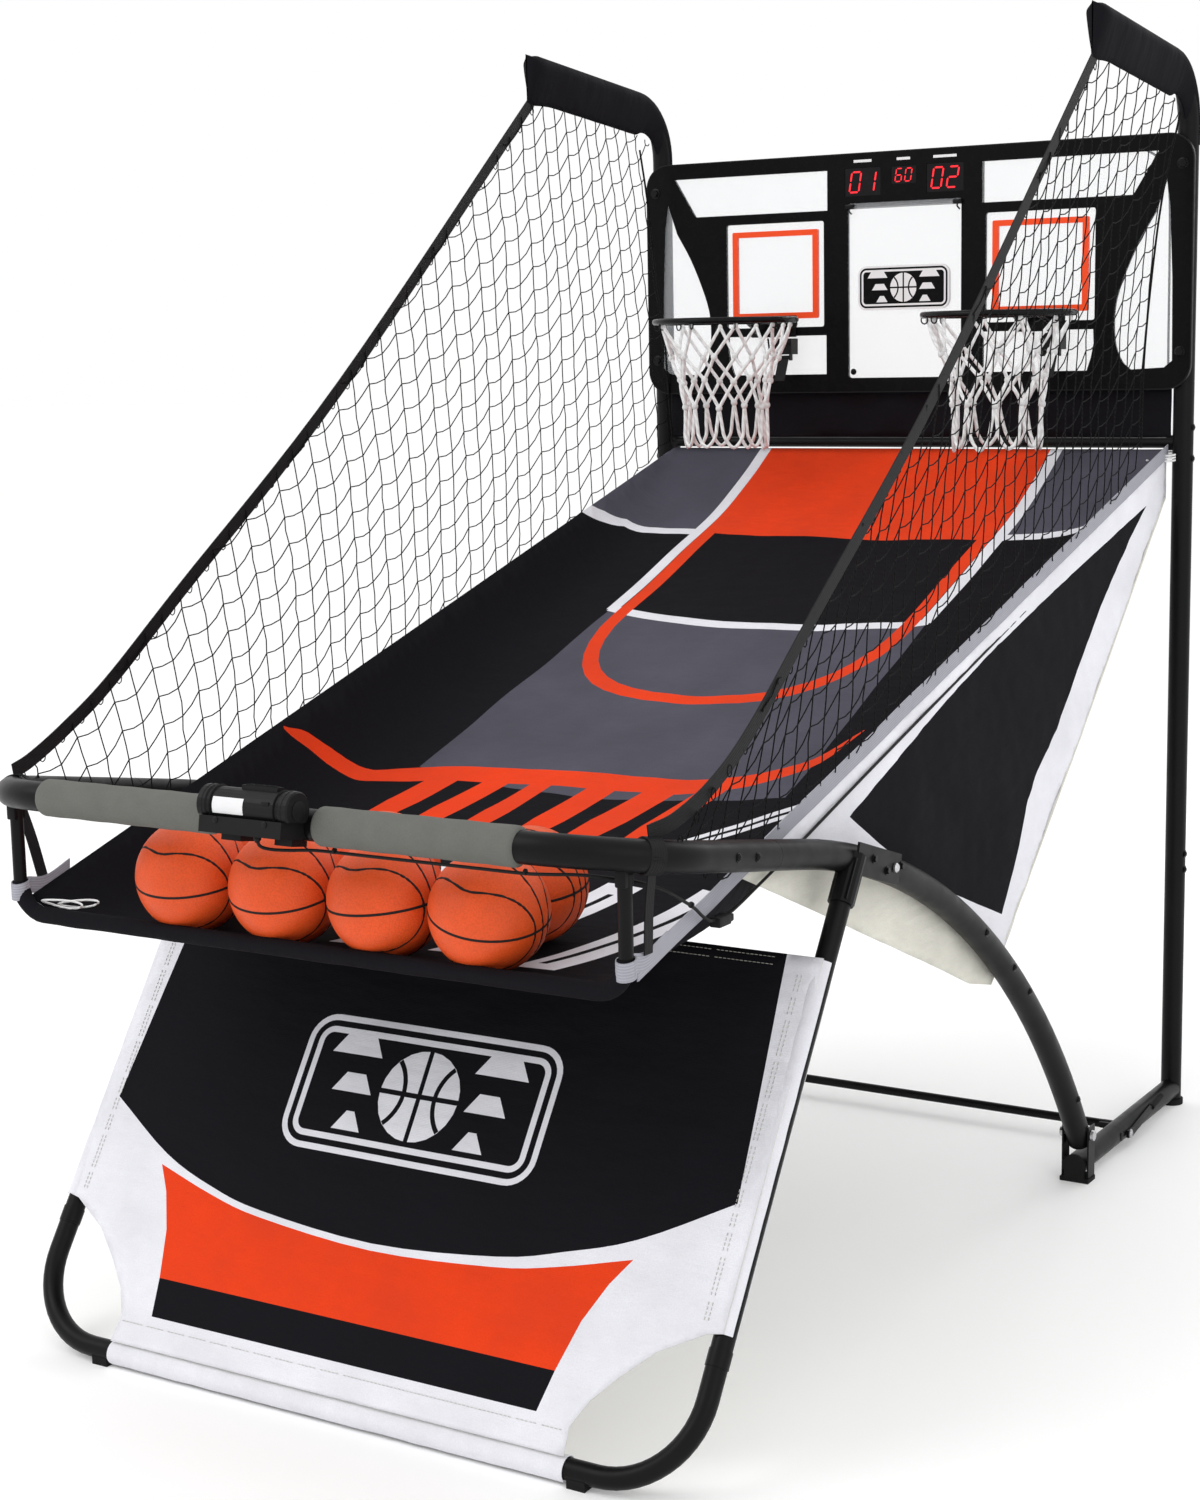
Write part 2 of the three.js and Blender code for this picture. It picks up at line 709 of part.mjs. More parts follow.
// Socket under the rail that holds a leg, with the cheek plate that pivots on the arc leg.
function addLegYoke(name, sign) {
  const x = sign * HALF_WIDTH;
  const legX = sign * (LEG_HALF_WIDTH - HALF_WIDTH);
  const cheekIn = TUBE_RADIUS + 0.7;
  const cheekOut = cheekIn + 3.5;
  const outward = (near, far, low, high) => {
    const xs = [sign * near, sign * far].sort((a, b) => a - b);
    return box([xs[0], ...low], [xs[1], ...high]);
  };
  const place = new THREE.Matrix4().makeRotationX(-LEG_LEAN).setPosition(x, LEG_TOP.y, LEG_TOP.z);
  const socket = rodZ(SOCKET_RADIUS, 75, legX, 0, 2.5).applyMatrix4(place);
  const web = outward(0, cheekOut, [-15, -31], [15, -4]).applyMatrix4(place);
  const strap = outward(cheekIn, cheekOut, [-15, -31], [15, 30]).applyMatrix4(place);
  const bore = rodZ(LEG_RADIUS + 0.4, 45, legX, 0, -17).applyMatrix4(place);
  const cheekSlope = Math.asin((LEG_PIVOT_Y - 40 - ARC_CENTRE.y) / ARC_RADIUS);
  const middle = arcPoint(x, cheekSlope);
  const cheek = outward(cheekIn, cheekOut, [-82, -24], [62, 21])
    .rotateX(-cheekSlope)
    .translate(middle.x, middle.y, middle.z);
  const clearance = tubeAlong(arcStations(x), TUBE_RADIUS + 0.5, 0);
  const hole = rodX(LEG_PIN_RADIUS + 0.3, 90, x, LEG_PIVOT.y, LEG_PIVOT.z);
  const yoke = cut(join(socket, web, strap, cheek), clearance, bore, hole);
  addPart(model, `leg_yoke_${name}`, yoke, "blackSteel");

  const head = 26;
  const pin = turnedX(
    [
      [0, -TUBE_RADIUS],
      [LEG_PIN_RADIUS, -TUBE_RADIUS],
      [LEG_PIN_RADIUS, head],
      [7, head],
      [7, head + 3],
      [5, head + 5],
      [0, head + 5],
    ],
    16,
  );
  if (sign < 0) pin.rotateZ(Math.PI);
  pin.translate(x, LEG_PIVOT.y, LEG_PIVOT.z);
  addPart(model, `leg_pin_${name}`, pin, "zincSteel");
}

// ---------------------------------------------------------------- fabrics and cable
function addRamp() {
  const rows = RAMP_FLOOR.map(([y, z, half]) => {
    const edge = edgeAt(y);
    return [
      point(-edge.x, y, edge.z),
      point(-half, y, z),
      point(half, y, z),
      point(edge.x, y, edge.z),
    ];
  });
  addPart(model, "ramp", thickSheet(rows, point(0, 0, -FABRIC)), "blackFabric");

  const skirt = box([-520, -10, REAR_CROSSBAR.z + 13], [520, -7, BOARD.bottom - 4]);
  addPart(model, "rear_skirt", skirt, "blackFabric");
}

function addSideFabrics(name, sign) {
  const netColumns = [
    [-30.5, 1850],
    [-234, 1890],
    [-470, 1910],
    [-1098, 1395],
    [-1527, 1092],
    [-1700, 966],
  ];
  const rows = netColumns.map(([y, z]) => {
    const edge = edgeAt(y);
    const low = point(sign * (edge.x + 0.5), y, edge.z + 4);
    const high = point(sign * HALF_WIDTH, y, z);
    return [high, low];
  });
  addPart(model, `side_net_${name}`, thickSheet(rows, point(-2, 0, 0)), "net");

  const outline = [
    [-60, edgeAt(-60).z - 2],
    [-1640, edgeAt(-1640).z - 2],
    [-1662, 766],
    [-935, 448],
    [-867, 499],
  ];
  const x = sign > 0 ? 524 : -526;
  addPart(model, `side_panel_${name}`, sidePlate(outline, x, 2), "whiteFabric");
}

// Cable from the control unit, under the rail, along the ramp's edge and up to the scorer.
const CABLE_RADIUS = 2.2;
const CABLE_ROUTE = [
  [22, -2054.8, 842.5],
  [22, -2055.0, 840],
  [24, -2052.0, 832],
  [32, -2042.0, 827],
  [48, -2028.0, 824.5],
  [66, -2016.0, 824],
  [88, -2009.5, 824],
  [160, -2009.5, 824],
  [240, -2009.5, 824],
  [320, -2009.5, 824],
  [396, -2009.0, 824],
  [432, -2004.0, 825],
  [462, -1982.0, 823],
  [482, -1950.0, 815],
  [502, -1915.0, 805],
  [516, -1870.0, 786],
  [519, -1812.0, 756],
  [517, -1740.0, 722],
  [514, -1600.0, 750],
  [514, -1300.0, 838],
  [514, -1000.0, 925],
  [514, -700.0, 1012],
  [514, -400.0, 1100],
  [514, -150.0, 1172],
  [514, -30.0, 1205],
  [514, 8.0, 1228],
  [514, 17.0, 1262],
  [514, 16.0, 1320],
  [514, 12.0, 1450],
  [514, 10.0, 1600],
  [512, 8.0, 1720],
  [498, 6.0, 1770],
  [455, 4.0, 1797],
  [380, 3.0, 1800],
  [260, 3.0, 1800],
  [145.5, 3.0, 1800],
];

function addControlCable() {
  const curve = new THREE.CatmullRomCurve3(CABLE_ROUTE.map((p) => point(...p)));
  const stations = curve.getPoints(CABLE_ROUTE.length - 1);
  addPart(model, "control_cable", tubeAlong(stations, CABLE_RADIUS, 0, 8), "blackPlastic");
}

// ---------------------------------------------------------------- balls
function addBalls() {
  let number = 1;
  for (const { y, xs } of BALL_ROWS) {
    for (const x of xs) {
      const ball = new THREE.IcosahedronGeometry(BALL_RADIUS, 2);
      addPart(model, `ball_${number}`, ball, "ball").position.set(x, y, BALL_HEIGHT);
      number += 1;
    }
  }
}

addRearFrame();
addBackboard();
addFrontRail();
addControlUnit();
addTray();
addFrontLegs();
addRamp();
addControlCable();
for (const { name, sign } of SIDES) {
  addHoop(name, sign);
  addArcLeg(name, sign);
  addSideFabrics(name, sign);
}
addBalls();

// The origin goes to the middle of the object's depth.
const bounds = new THREE.Box3().setFromObject(model, true);
model.position.y = -(bounds.min.y + bounds.max.y) / 2;

export default group;
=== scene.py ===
"""Looks of the two-player folding basketball hoop machine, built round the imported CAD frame.

Sizes are in design millimetres: X to the player's right, Y = 0 at the line of the rear uprights
and negative towards the player, Z up from the floor. at() turns them into the frame's metres.
"""

import json
import math
import random
from math import cos, pi, radians, sin

import bmesh
import bpy
import numpy as np
from mathutils import Matrix, Vector, noise
from mathutils.geometry import delaunay_2d_cdt

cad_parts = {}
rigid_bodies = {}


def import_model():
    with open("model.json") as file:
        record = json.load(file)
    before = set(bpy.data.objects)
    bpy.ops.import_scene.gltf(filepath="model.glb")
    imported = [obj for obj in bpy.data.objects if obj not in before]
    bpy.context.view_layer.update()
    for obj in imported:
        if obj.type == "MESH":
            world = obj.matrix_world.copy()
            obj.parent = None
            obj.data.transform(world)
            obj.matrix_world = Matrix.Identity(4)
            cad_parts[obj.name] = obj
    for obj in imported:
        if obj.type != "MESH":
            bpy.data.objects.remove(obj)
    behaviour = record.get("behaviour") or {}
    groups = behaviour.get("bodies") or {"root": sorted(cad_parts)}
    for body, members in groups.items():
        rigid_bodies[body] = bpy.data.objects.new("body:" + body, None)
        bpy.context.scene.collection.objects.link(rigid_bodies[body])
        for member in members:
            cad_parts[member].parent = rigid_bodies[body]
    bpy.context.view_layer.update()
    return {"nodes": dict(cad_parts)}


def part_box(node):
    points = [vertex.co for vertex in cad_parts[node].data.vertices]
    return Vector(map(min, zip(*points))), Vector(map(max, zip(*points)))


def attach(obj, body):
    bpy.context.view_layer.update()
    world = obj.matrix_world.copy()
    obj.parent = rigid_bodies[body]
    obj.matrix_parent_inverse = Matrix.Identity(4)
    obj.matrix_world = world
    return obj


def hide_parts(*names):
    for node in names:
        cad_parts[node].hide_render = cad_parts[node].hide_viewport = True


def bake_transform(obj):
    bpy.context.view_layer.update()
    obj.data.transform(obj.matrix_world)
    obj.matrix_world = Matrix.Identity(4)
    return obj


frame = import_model()

# ---------------------------------------------------------------- places, as in the CAD source
REAR_Y = sum(corner.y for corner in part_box("upright_left")) / 2
SIDES = (("left", -1), ("right", 1))
HALF_WIDTH = 549
UPRIGHT_RADIUS = 19
UPRIGHT_JOINT = 1374
ARM_CORNER = 1929
ARM_TIP = (-473, 1975)
RAIL_RADIUS = 21
ARC_Y, ARC_Z, ARC_RADIUS = -1837, -794, 1596
RAIL_SLOPE = radians(9.9)
SEAM_Y = -1658
SEAM_Z = (
    ARC_Z
    + ARC_RADIUS * cos(RAIL_SLOPE)
    + (ARC_Y + ARC_RADIUS * sin(RAIL_SLOPE) - SEAM_Y) * math.tan(RAIL_SLOPE)
)
RAIL_LENGTH = 351.2
LEG_HALF_WIDTH = 560
LEG_RADIUS = 15
LEG_LENGTH = 849.6
RAIL_PLANE = Matrix.Translation((0, SEAM_Y, SEAM_Z)) @ Matrix.Rotation(-RAIL_SLOPE, 4, "X")
LEG_PLANE = Matrix.Translation((0, -1449, 721)) @ Matrix.Rotation(radians(-34.4), 4, "X")
HOOP_X, HOOP_Y, HOOP_Z = 280, -234, 1502
BOARD_FRONT = -29.5
FLOOR_RAIL_Z = 30
CROSSBAR_Z = 1262
TRAY_HALF_WIDTH, TRAY_Y, TRAY_Z = 505, -1950, 670
BALL_RADIUS = 80


def at(point):
    """A point in design millimetres, as a place in the frame in metres."""
    return Vector((point[0] / 1000, point[1] / 1000 + REAR_Y, point[2] / 1000))


# ---------------------------------------------------------------- materials
def colour_of(red, green, blue):
    """Linear colour of a display colour from 0 to 255."""

    def linear(value):
        value /= 255
        return value / 12.92 if value <= 0.04045 else ((value + 0.055) / 1.055) ** 2.4

    return (linear(red), linear(green), linear(blue), 1)


def scaled(colour, factor):
    return tuple(min(1, c * factor) for c in colour[:3]) + (1,)


class Look:
    """A material whose nodes are wired by calls that read from left to right."""

    def __init__(self, name, **sockets):
        self.material = bpy.data.materials.new(name)
        self.material.use_nodes = True
        self.tree = self.material.node_tree
        self.shader = self.tree.nodes["Principled BSDF"]
        for socket, value in sockets.items():
            self.shader.inputs[socket.replace("_", " ")].default_value = value
        self.places = self.node("TexCoord").outputs["Object"]

    def wire(self, socket, value):
        """Link a socket to another one, or set its own value."""
        if isinstance(value, bpy.types.NodeSocket):
            self.tree.links.new(value, socket)
        else:
            socket.default_value = value

    def node(self, kind, inputs=None, **settings):
        made = self.tree.nodes.new("ShaderNode" + kind)
        for key, value in settings.items():
            setattr(made, key, value)
        for key, value in (inputs or {}).items():
            self.wire(made.inputs[key], value)
        return made

    def flat(self):
        """Places on the cloth as it is cut, or along and round a cord, in metres."""
        return self.node("UVMap").outputs["UV"]

    def stretched(self, places, scale):
        return self.node("Mapping", {"Vector": places, "Scale": scale}).outputs[0]

    def grain(self, scale, detail=3, places=None, roughness=0.5):
        inputs = {"Scale": scale, "Detail": detail, "Roughness": roughness}
        inputs["Vector"] = places or self.places
        return self.node("TexNoise", inputs).outputs["Fac"]

    def cells(self, scale):
        return self.node("TexVoronoi", {"Vector": self.places, "Scale": scale}).outputs["Distance"]

    def wave(self, places, scale, way):
        inputs = {"Vector": places, "Scale": scale}
        return self.node("TexWave", inputs, bands_direction=way).outputs["Fac"]

    def spread(self, value, low, high, start=0.3, end=0.7):
        inputs = {"Value": value, "From Min": start, "From Max": end, "To Min": low, "To Max": high}
        return self.node("MapRange", inputs).outputs["Result"]

    def combined(self, first, second, operation):
        return self.node("Math", {0: first, 1: second}, operation=operation).outputs[0]

    def mix(self, share, first, second):
        made = self.node("Mix", data_type="RGBA")
        for key, value in {"Factor": share, "A": first, "B": second}.items():
            self.wire(next(s for s in made.inputs if s.name == key and s.enabled), value)
        return next(s for s in made.outputs if s.enabled)

    def drive(self, socket, value):
        self.tree.links.new(value, self.shader.inputs[socket])

    def bump(self, height, distance, strength=1.0, under=None):
        inputs = {"Height": height, "Distance": distance, "Strength": strength}
        if under:
            inputs["Normal"] = under
        made = self.node("Bump", inputs).outputs["Normal"]
        self.drive("Normal", made)
        return made


def coated_steel(name, colour, roughness):
    """Powder-coated or painted steel: slightly uneven gloss, fine orange peel, paler rubbed patches."""
    look = Look(name, Metallic=0.0, IOR=1.5, Specular_IOR_Level=0.12)
    rubbed = look.spread(look.grain(9, 6), 0, 0.35, 0.5, 0.75)
    look.drive("Base Color", look.mix(rubbed, colour, scaled(colour, 1.7)))
    look.drive("Roughness", look.spread(look.grain(24, 4), roughness - 0.05, roughness + 0.1))
    look.bump(look.grain(620, 2), 0.0004, 0.22)
    return look.material


def bare_steel(name, colour, roughness):
    """Zinc-plated steel with a brushed grain."""
    look = Look(name, Metallic=1.0)
    streaks = look.grain(1, 4, look.stretched(look.places, (90, 900, 900)))
    look.drive("Base Color", look.mix(streaks, scaled(colour, 0.75), colour))
    look.drive("Roughness", look.spread(streaks, roughness - 0.08, roughness + 0.12))
    look.bump(streaks, 0.0001, 0.3)
    return look.material


def moulded(name, colour, roughness, texture=0.25, texture_scale=850, mottle=1.3, shine=0.14):
    """Moulded plastic or rubber with a spark-eroded texture and faint mottling."""
    look = Look(name, IOR=1.48, Specular_IOR_Level=shine)
    look.drive("Base Color", look.mix(look.grain(30, 5), colour, scaled(colour, mottle)))
    look.drive("Roughness", look.spread(look.grain(60, 3), roughness - 0.06, roughness + 0.08))
    look.bump(look.grain(texture_scale, 2), 0.0003, texture)
    return look.material


def thread_scale(thread):
    """Scale of a wave texture that makes each wave one thread wide, in millimetres."""
    return 2 * pi / (20 * thread / 1000)


def cloth(name, colour, roughness=0.82, shine=0.16, crease=0.4, pale=1.18):
    """Printed polyester: plain weave along the cloth's own length and width, soft creases."""
    look = Look(name, Specular_IOR_Level=shine)
    flat = look.flat()
    warp, weft = (look.wave(flat, thread_scale(2.4), way) for way in ("X", "Y"))
    weave = look.combined(warp, weft, "MAXIMUM")
    slub = look.grain(420, 2, flat)
    wear = look.grain(7, 6, flat, 0.6)
    tone = look.mix(look.spread(wear, 0, 1, 0.35, 0.7), scaled(colour, 0.9), scaled(colour, pale))
    look.drive("Base Color", look.mix(look.spread(slub, 0, 0.35), tone, scaled(colour, 0.78)))
    look.drive("Roughness", look.spread(wear, roughness - 0.08, roughness + 0.08))
    creases = look.grain(11, 4, look.stretched(flat, (1, 2.4, 1)), 0.45)
    look.bump(weave, 0.0004, 0.35, look.bump(creases, 0.012, crease))
    return look.material


def webbing(name, colour, stripes):
    """Woven strap with ribs along its length; stripes is how dark the woven lines are."""
    look = Look(name, Roughness=0.6, Specular_IOR_Level=0.2)
    flat = look.flat()
    ribs = look.wave(flat, 85, "X")
    picks = look.wave(flat, thread_scale(1.6), "Y")
    tone = look.mix(look.combined(ribs, stripes, "MULTIPLY"), colour, scaled(colour, 0.35))
    worn = look.spread(look.grain(40, 4, flat), 0, 0.4)
    look.drive("Base Color", look.mix(worn, tone, scaled(colour, 0.7)))
    look.bump(look.combined(ribs, picks, "MAXIMUM"), 0.0005, 0.7)
    return look.material


def twisted_cord(name, colour, lay=9.0, shade=0.55):
    """Twisted cord: strands wind round it once in every `lay` millimetres."""
    look = Look(name, Roughness=0.85, Specular_IOR_Level=0.15)
    turned = look.stretched(look.flat(), (3, 1000 / lay, 1))
    strands = look.wave(turned, pi / 10, "DIAGONAL")
    look.drive("Base Color", look.mix(strands, scaled(colour, shade), colour))
    look.bump(strands, 0.0008, 0.8)
    return look.material


def foam(name, colour):
    """Closed-cell foam: fine cells over a slightly dented skin."""
    look = Look(name, Roughness=0.95, Specular_IOR_Level=0.2)
    cells = look.cells(520)
    dents = look.grain(35, 4)
    tone = look.mix(look.spread(dents, 0, 1), scaled(colour, 0.95), scaled(colour, 1.05))
    pits = look.spread(cells, 0, 0.25, 0.1, 0.7)
    look.drive("Base Color", look.mix(pits, tone, scaled(colour, 0.7)))
    look.bump(cells, 0.0007, 0.5, look.bump(dents, 0.002, 0.35))
    return look.material


def pebbled(name, colour):
    """Basketball cover: small rounded pebbles with darker gaps, scuffed in places."""
    look = Look(name, Specular_IOR_Level=0.3)
    pebbles = look.cells(420)
    scuffs = look.grain(16, 6, None, 0.6)
    tone = look.mix(look.spread(scuffs, 0, 1, 0.4, 0.7), scaled(colour, 0.93), scaled(colour, 1.1))
    gaps = look.spread(pebbles, 0, 0.3, 0.35, 0.8)
    look.drive("Base Color", look.mix(gaps, tone, scaled(colour, 0.6)))
    look.drive("Roughness", look.spread(scuffs, 0.42, 0.6))
    look.bump(look.spread(pebbles, 1, 0, 0.1, 0.8), 0.0005, 0.4)
    return look.material


def clear_panel(name):
    """Clear acrylic with faint haze and hairline scratches."""
    look = Look(name, Roughness=0.07, IOR=1.49, Alpha=0.16)
    haze = look.grain(3, 6, look.stretched(look.places, (4, 60, 60)))
    look.drive("Base Color", look.mix(haze, (0.72, 0.76, 0.8, 1), (0.9, 0.93, 0.95, 1)))
    look.bump(haze, 0.0002, 0.1)
    return look.material


def lit(name, colour, strength):
    """Lit segments of a display, a little uneven from one place to the next."""
    look = Look(name, Emission_Color=colour, Emission_Strength=strength, Roughness=0.4)
    look.drive("Base Color", look.mix(look.grain(200, 2), scaled(colour, 0.6), colour))
    return look.material


def neutral(level, blue=None):
    """A grey in linear light, a little bluer if asked for."""
    return (level, level, blue or level, 1)


LOOKS = {
    "steel": coated_steel("satin_black_steel", neutral(0.0045, 0.005), 0.36),
    "gloss_steel": coated_steel("gloss_black_steel", neutral(0.0055, 0.006), 0.22),
    "zinc": bare_steel("zinc_plated_steel", neutral(0.6, 0.62), 0.3),
    "rubber": moulded("black_rubber", neutral(0.008), 0.75, 0.4, 500),
    "plastic": moulded("black_moulded_plastic", neutral(0.0075, 0.008), 0.42),
    "lens": moulded("smoked_lens", (0.006, 0.005, 0.006, 1), 0.16, 0.05),
    "white_plastic": moulded("white_plastic", neutral(0.72, 0.73), 0.45, 0.15, 700, 1.08),
    "black": cloth("black_polyester", colour_of(22, 21, 25), shine=0.06),
    "grey": cloth("grey_print", colour_of(78, 77, 88)),
    "orange": cloth("orange_print", colour_of(228, 62, 20), 0.8, pale=1.1),
    "white": cloth("white_polyester", colour_of(231, 231, 237), 0.75, pale=1.06),
    # Cream: unprinted cloth whose tone is partly its own off-white and partly painted shade; also used for
    # reverse sides, hems and stitching
    "cream": cloth("unprinted_reverse", colour_of(224, 222, 211), 0.85, crease=0.6, pale=1.06),
    "silver": webbing("silver_webbing", colour_of(172, 172, 182), 0.45),
    "strap": webbing("black_webbing", neutral(0.0065, 0.0075), 0.3),
    "net": twisted_cord("black_net_cord", neutral(0.0055, 0.006), 4),
    "cord": twisted_cord("white_cord", neutral(0.88), shade=0.82),
    "cable": moulded("cable_sheath", neutral(0.01), 0.5, 0.15),
    "foam": foam("grey_foam", colour_of(104, 105, 100)),
    "ball": pebbled("ball_cover", colour_of(224, 82, 30)),
    "seam": moulded("ball_seam_rubber", (0.012, 0.011, 0.011, 1), 0.6, 0.3),
    "clear": clear_panel("clear_panel"),
    "print_black": moulded("black_panel_print", neutral(0.0045, 0.005), 0.25, 0.04, 300, 1.15, 0.05),
    "print_orange": moulded("orange_panel_print", colour_of(236, 76, 34), 0.35, 0.08, 300, 1.1),
    "led": lit("red_display_light", colour_of(232, 12, 30), 1.3),
    "print_white": moulded("white_panel_print", neutral(0.75, 0.76), 0.5, 0.1, 300, 1.05),
}

# Slot of a piece, by its first look, which make() looks up but does not use. Pieces in other looks have none.
SLOTS = {
    "steel": "black_steel", "gloss_steel": "gloss_black_steel", "zinc": "zinc_steel",
    "rubber": "black_rubber", "plastic": "black_plastic", "lens": "display_lens",
    "black": "printed_fabric", "white": "white_fabric", "strap": "black_net", "net": "black_net",
    "cord": "white_cord", "cable": "cable_sheath", "foam": "grey_foam", "ball": "ball_rubber",
    "print_black": "board",
}  # fmt: skip


# ---------------------------------------------------------------- shapes
def across(direction):
    """A unit vector square to a direction."""
    side = Vector((0, 0, 1)) if abs(direction.z) < 0.9 else Vector((0, 1, 0))
    return direction.cross(side).normalized()


def filleted(corners, radius, steps=8):
    """A polyline with each inner corner rounded to a radius."""
    corners = [Vector(c) for c in corners]
    path = [corners[0]]
    for before, corner, after in zip(corners, corners[1:], corners[2:]):
        into, out = (corner - before).normalized(), (after - corner).normalized()
        turn = into.angle(out)
        start = corner - into * radius * math.tan(turn / 2)
        inward = (out - into * into.dot(out)).normalized()
        for step in range(steps + 1):
            angle = turn * step / steps
            path.append(start + into * radius * sin(angle) + inward * radius * (1 - cos(angle)))
    return path + [corners[-1]]


def turns(count, shift=0.0):
    """Angles of evenly spaced places round a circle."""
    return [2 * pi * (k + shift) / count for k in range(count)]


def ring_of(centre, first, second, count):
    """Places round an ellipse with two given half axes."""
    centre, first, second = Vector(centre), Vector(first), Vector(second)
    return [centre + first * cos(a) + second * sin(a) for a in turns(count)]


def smoothed(points, steps=6):
    """A smooth curve through points, as a list of places."""
    points = [Vector(p) for p in points]
    ends = [points[0] * 2 - points[1]] + points + [points[-1] * 2 - points[-2]]
    path = []
    for a, b, c, d in zip(ends, ends[1:], ends[2:], ends[3:]):
        for t in (step / steps for step in range(steps)):
            bend = 2 * a - 5 * b + 4 * c - d
            path.append(0.5 * (2 * b + (c - a) * t + bend * t**2 + (3 * b - a - 3 * c + d) * t**3))
    return path + [points[-1]]


def smooth_line(pairs, steps):
    """A smooth flat curve through pairs of numbers."""
    return [(p.x, p.y) for p in smoothed([(x, y, 0) for x, y in pairs], steps)]


def closely_spaced(path, step):
    """The same polyline with places no further apart than about a step."""
    dense = []
    for a, b in zip(path, path[1:]):
        parts = max(1, int((b - a).length / step))
        dense += [a + (b - a) * k / parts for k in range(parts)]
    return dense + [path[-1]]


def end_faces(sides, rows):
    """The two end faces of a body made of rows of `sides` points."""
    last = (rows - 1) * sides
    return [tuple(range(sides))[::-1], tuple(range(last, last + sides))]


def arc_of(centre, radius, start, end, steps=12):
    """Points of a flat arc, from one angle in degrees to another."""
    angles = [radians(start + (end - start) * k / steps) for k in range(steps + 1)]
    return [(centre[0] + radius * cos(a), centre[1] + radius * sin(a)) for a in angles]


class Shape:
    """The points and faces of one piece, gathered in design millimetres."""

    def __init__(self, place=None):
        self.place = place or Matrix.Identity(4)
        self.points, self.faces, self.looks, self.flat = [], [], [], []

    def add(self, points, faces, look=0, flat=None):
        first = len(self.points)
        self.points += [self.place @ Vector(p) for p in points]
        for number, face in enumerate(faces):
            self.faces.append([first + i for i in face])
            self.flat.append(flat[number] if flat else [(0, 0)] * len(face))
            self.looks.append(look[number] if isinstance(look, list) else look)
        return self

    def tube(self, path, radius, sides=20, look=0, closed=False, caps=True):
        """A round bar along a path. The radius is a number or a function of the place from 0 to 1."""
        path = [Vector(p) for p in path]
        count = len(path)
        ahead = [(path[(i + 1) % count] - path[i]).normalized() for i in range(count)]
        if not closed:
            ahead[-1] = ahead[-2]
        tangents = [
            (ahead[i] + ahead[i - 1]).normalized() if closed or i else ahead[0] for i in range(count)
        ]
        side = across(tangents[0])
        points, lengths = [], [0.0]
        for i, place in enumerate(path):
            if i:
                side = (side - tangents[i] * side.dot(tangents[i])).normalized()
                lengths.append(lengths[-1] + (place - path[i - 1]).length)
            up = tangents[i].cross(side)
            size = radius(i / (count - 1)) if callable(radius) else radius
            points += [place + (side * cos(a) + up * sin(a)) * size for a in turns(sides)]
        faces, flat = [], []
        for i in range(count if closed else count - 1):
            j = (i + 1) % count
            low, high = lengths[i] / 1000, (lengths[j] if j else lengths[i] + 1) / 1000
            for k in range(sides):
                m, left, right = (k + 1) % sides, k / sides, (k + 1) / sides
                faces.append((i * sides + k, i * sides + m, j * sides + m, j * sides + k))
                flat.append([(left, low), (right, low), (right, high), (left, high)])
        if caps and not closed:
            faces += end_faces(sides, count)
            flat += [[(0, 0)] * sides] * 2
        return self.add(points, faces, look, flat)

    def turned(self, profile, origin, axis, sides=24, look=0):
        """A body turned about an axis, from (radius, along) points."""
        axis = Vector(axis).normalized()
        side = across(axis)
        up = axis.cross(side)
        points = [
            Vector(origin) + axis * along + (side * cos(a) + up * sin(a)) * max(radius, 0.01)
            for radius, along in profile
            for a in turns(sides)
        ]
        faces = []
        for i in range(len(profile) - 1):
            for k in range(sides):
                low, high, m = i * sides, (i + 1) * sides, (k + 1) % sides
                faces.append((low + k, low + m, high + m, high + k))
        return self.add(points, faces + end_faces(sides, len(profile)), look)

    def block(self, low, high, chamfer):
        """A box with softened edges."""
        low, high = Vector(low), Vector(high)
        mesh = bmesh.new()
        bmesh.ops.create_cube(mesh, size=1, matrix=Matrix.Diagonal(high - low).to_4x4())
        bmesh.ops.bevel(mesh, geom=mesh.edges[:], offset=chamfer, segments=2, profile=0.6, affect="EDGES")
        mesh.verts.index_update()
        middle = (low + high) / 2
        self.add([middle + v.co for v in mesh.verts], [[v.index for v in f.verts] for f in mesh.faces])
        mesh.free()
        return self

    def band(self, path, sides, width, thickness, closed=False):
        """A flat strap along a path; sides is its width's direction, or one for each place."""
        path = [Vector(p) for p in path]
        sides = sides if isinstance(sides, list) else [sides] * len(path)
        points, along, length = [], [], 0.0
        count = len(path)
        for i, place in enumerate(path):
            if i:
                length += (place - path[i - 1]).length
            along.append(length / 1000)
            before = path[(i - 1) % count] if closed else path[max(i - 1, 0)]
            after = path[(i + 1) % count] if closed else path[min(i + 1, count - 1)]
            side = Vector(sides[i]).normalized()
            out = (after - before).normalized().cross(side).normalized() * thickness / 2
            half = side * width / 2
            points += [place - half - out, place + half - out, place + half + out, place - half + out]
        faces, flat = [], []
        wide = width / 1000
        for i in range(count if closed else count - 1):
            j = (i + 1) % count
            for k in range(4):
                m = (k + 1) % 4
                faces.append((i * 4 + k, i * 4 + m, j * 4 + m, j * 4 + k))
                u = (0, wide) if k == 0 else (wide, 0) if k == 2 else (0, 0)
                flat.append([(u[0], along[i]), (u[1], along[i]), (u[1], along[j]), (u[0], along[j])])
        if not closed:
            last = 4 * (count - 1)
            faces += [(3, 2, 1, 0), (last, last + 1, last + 2, last + 3)]
            flat += [[(0, 0)] * 4] * 2
        return self.add(points, faces, 0, flat)

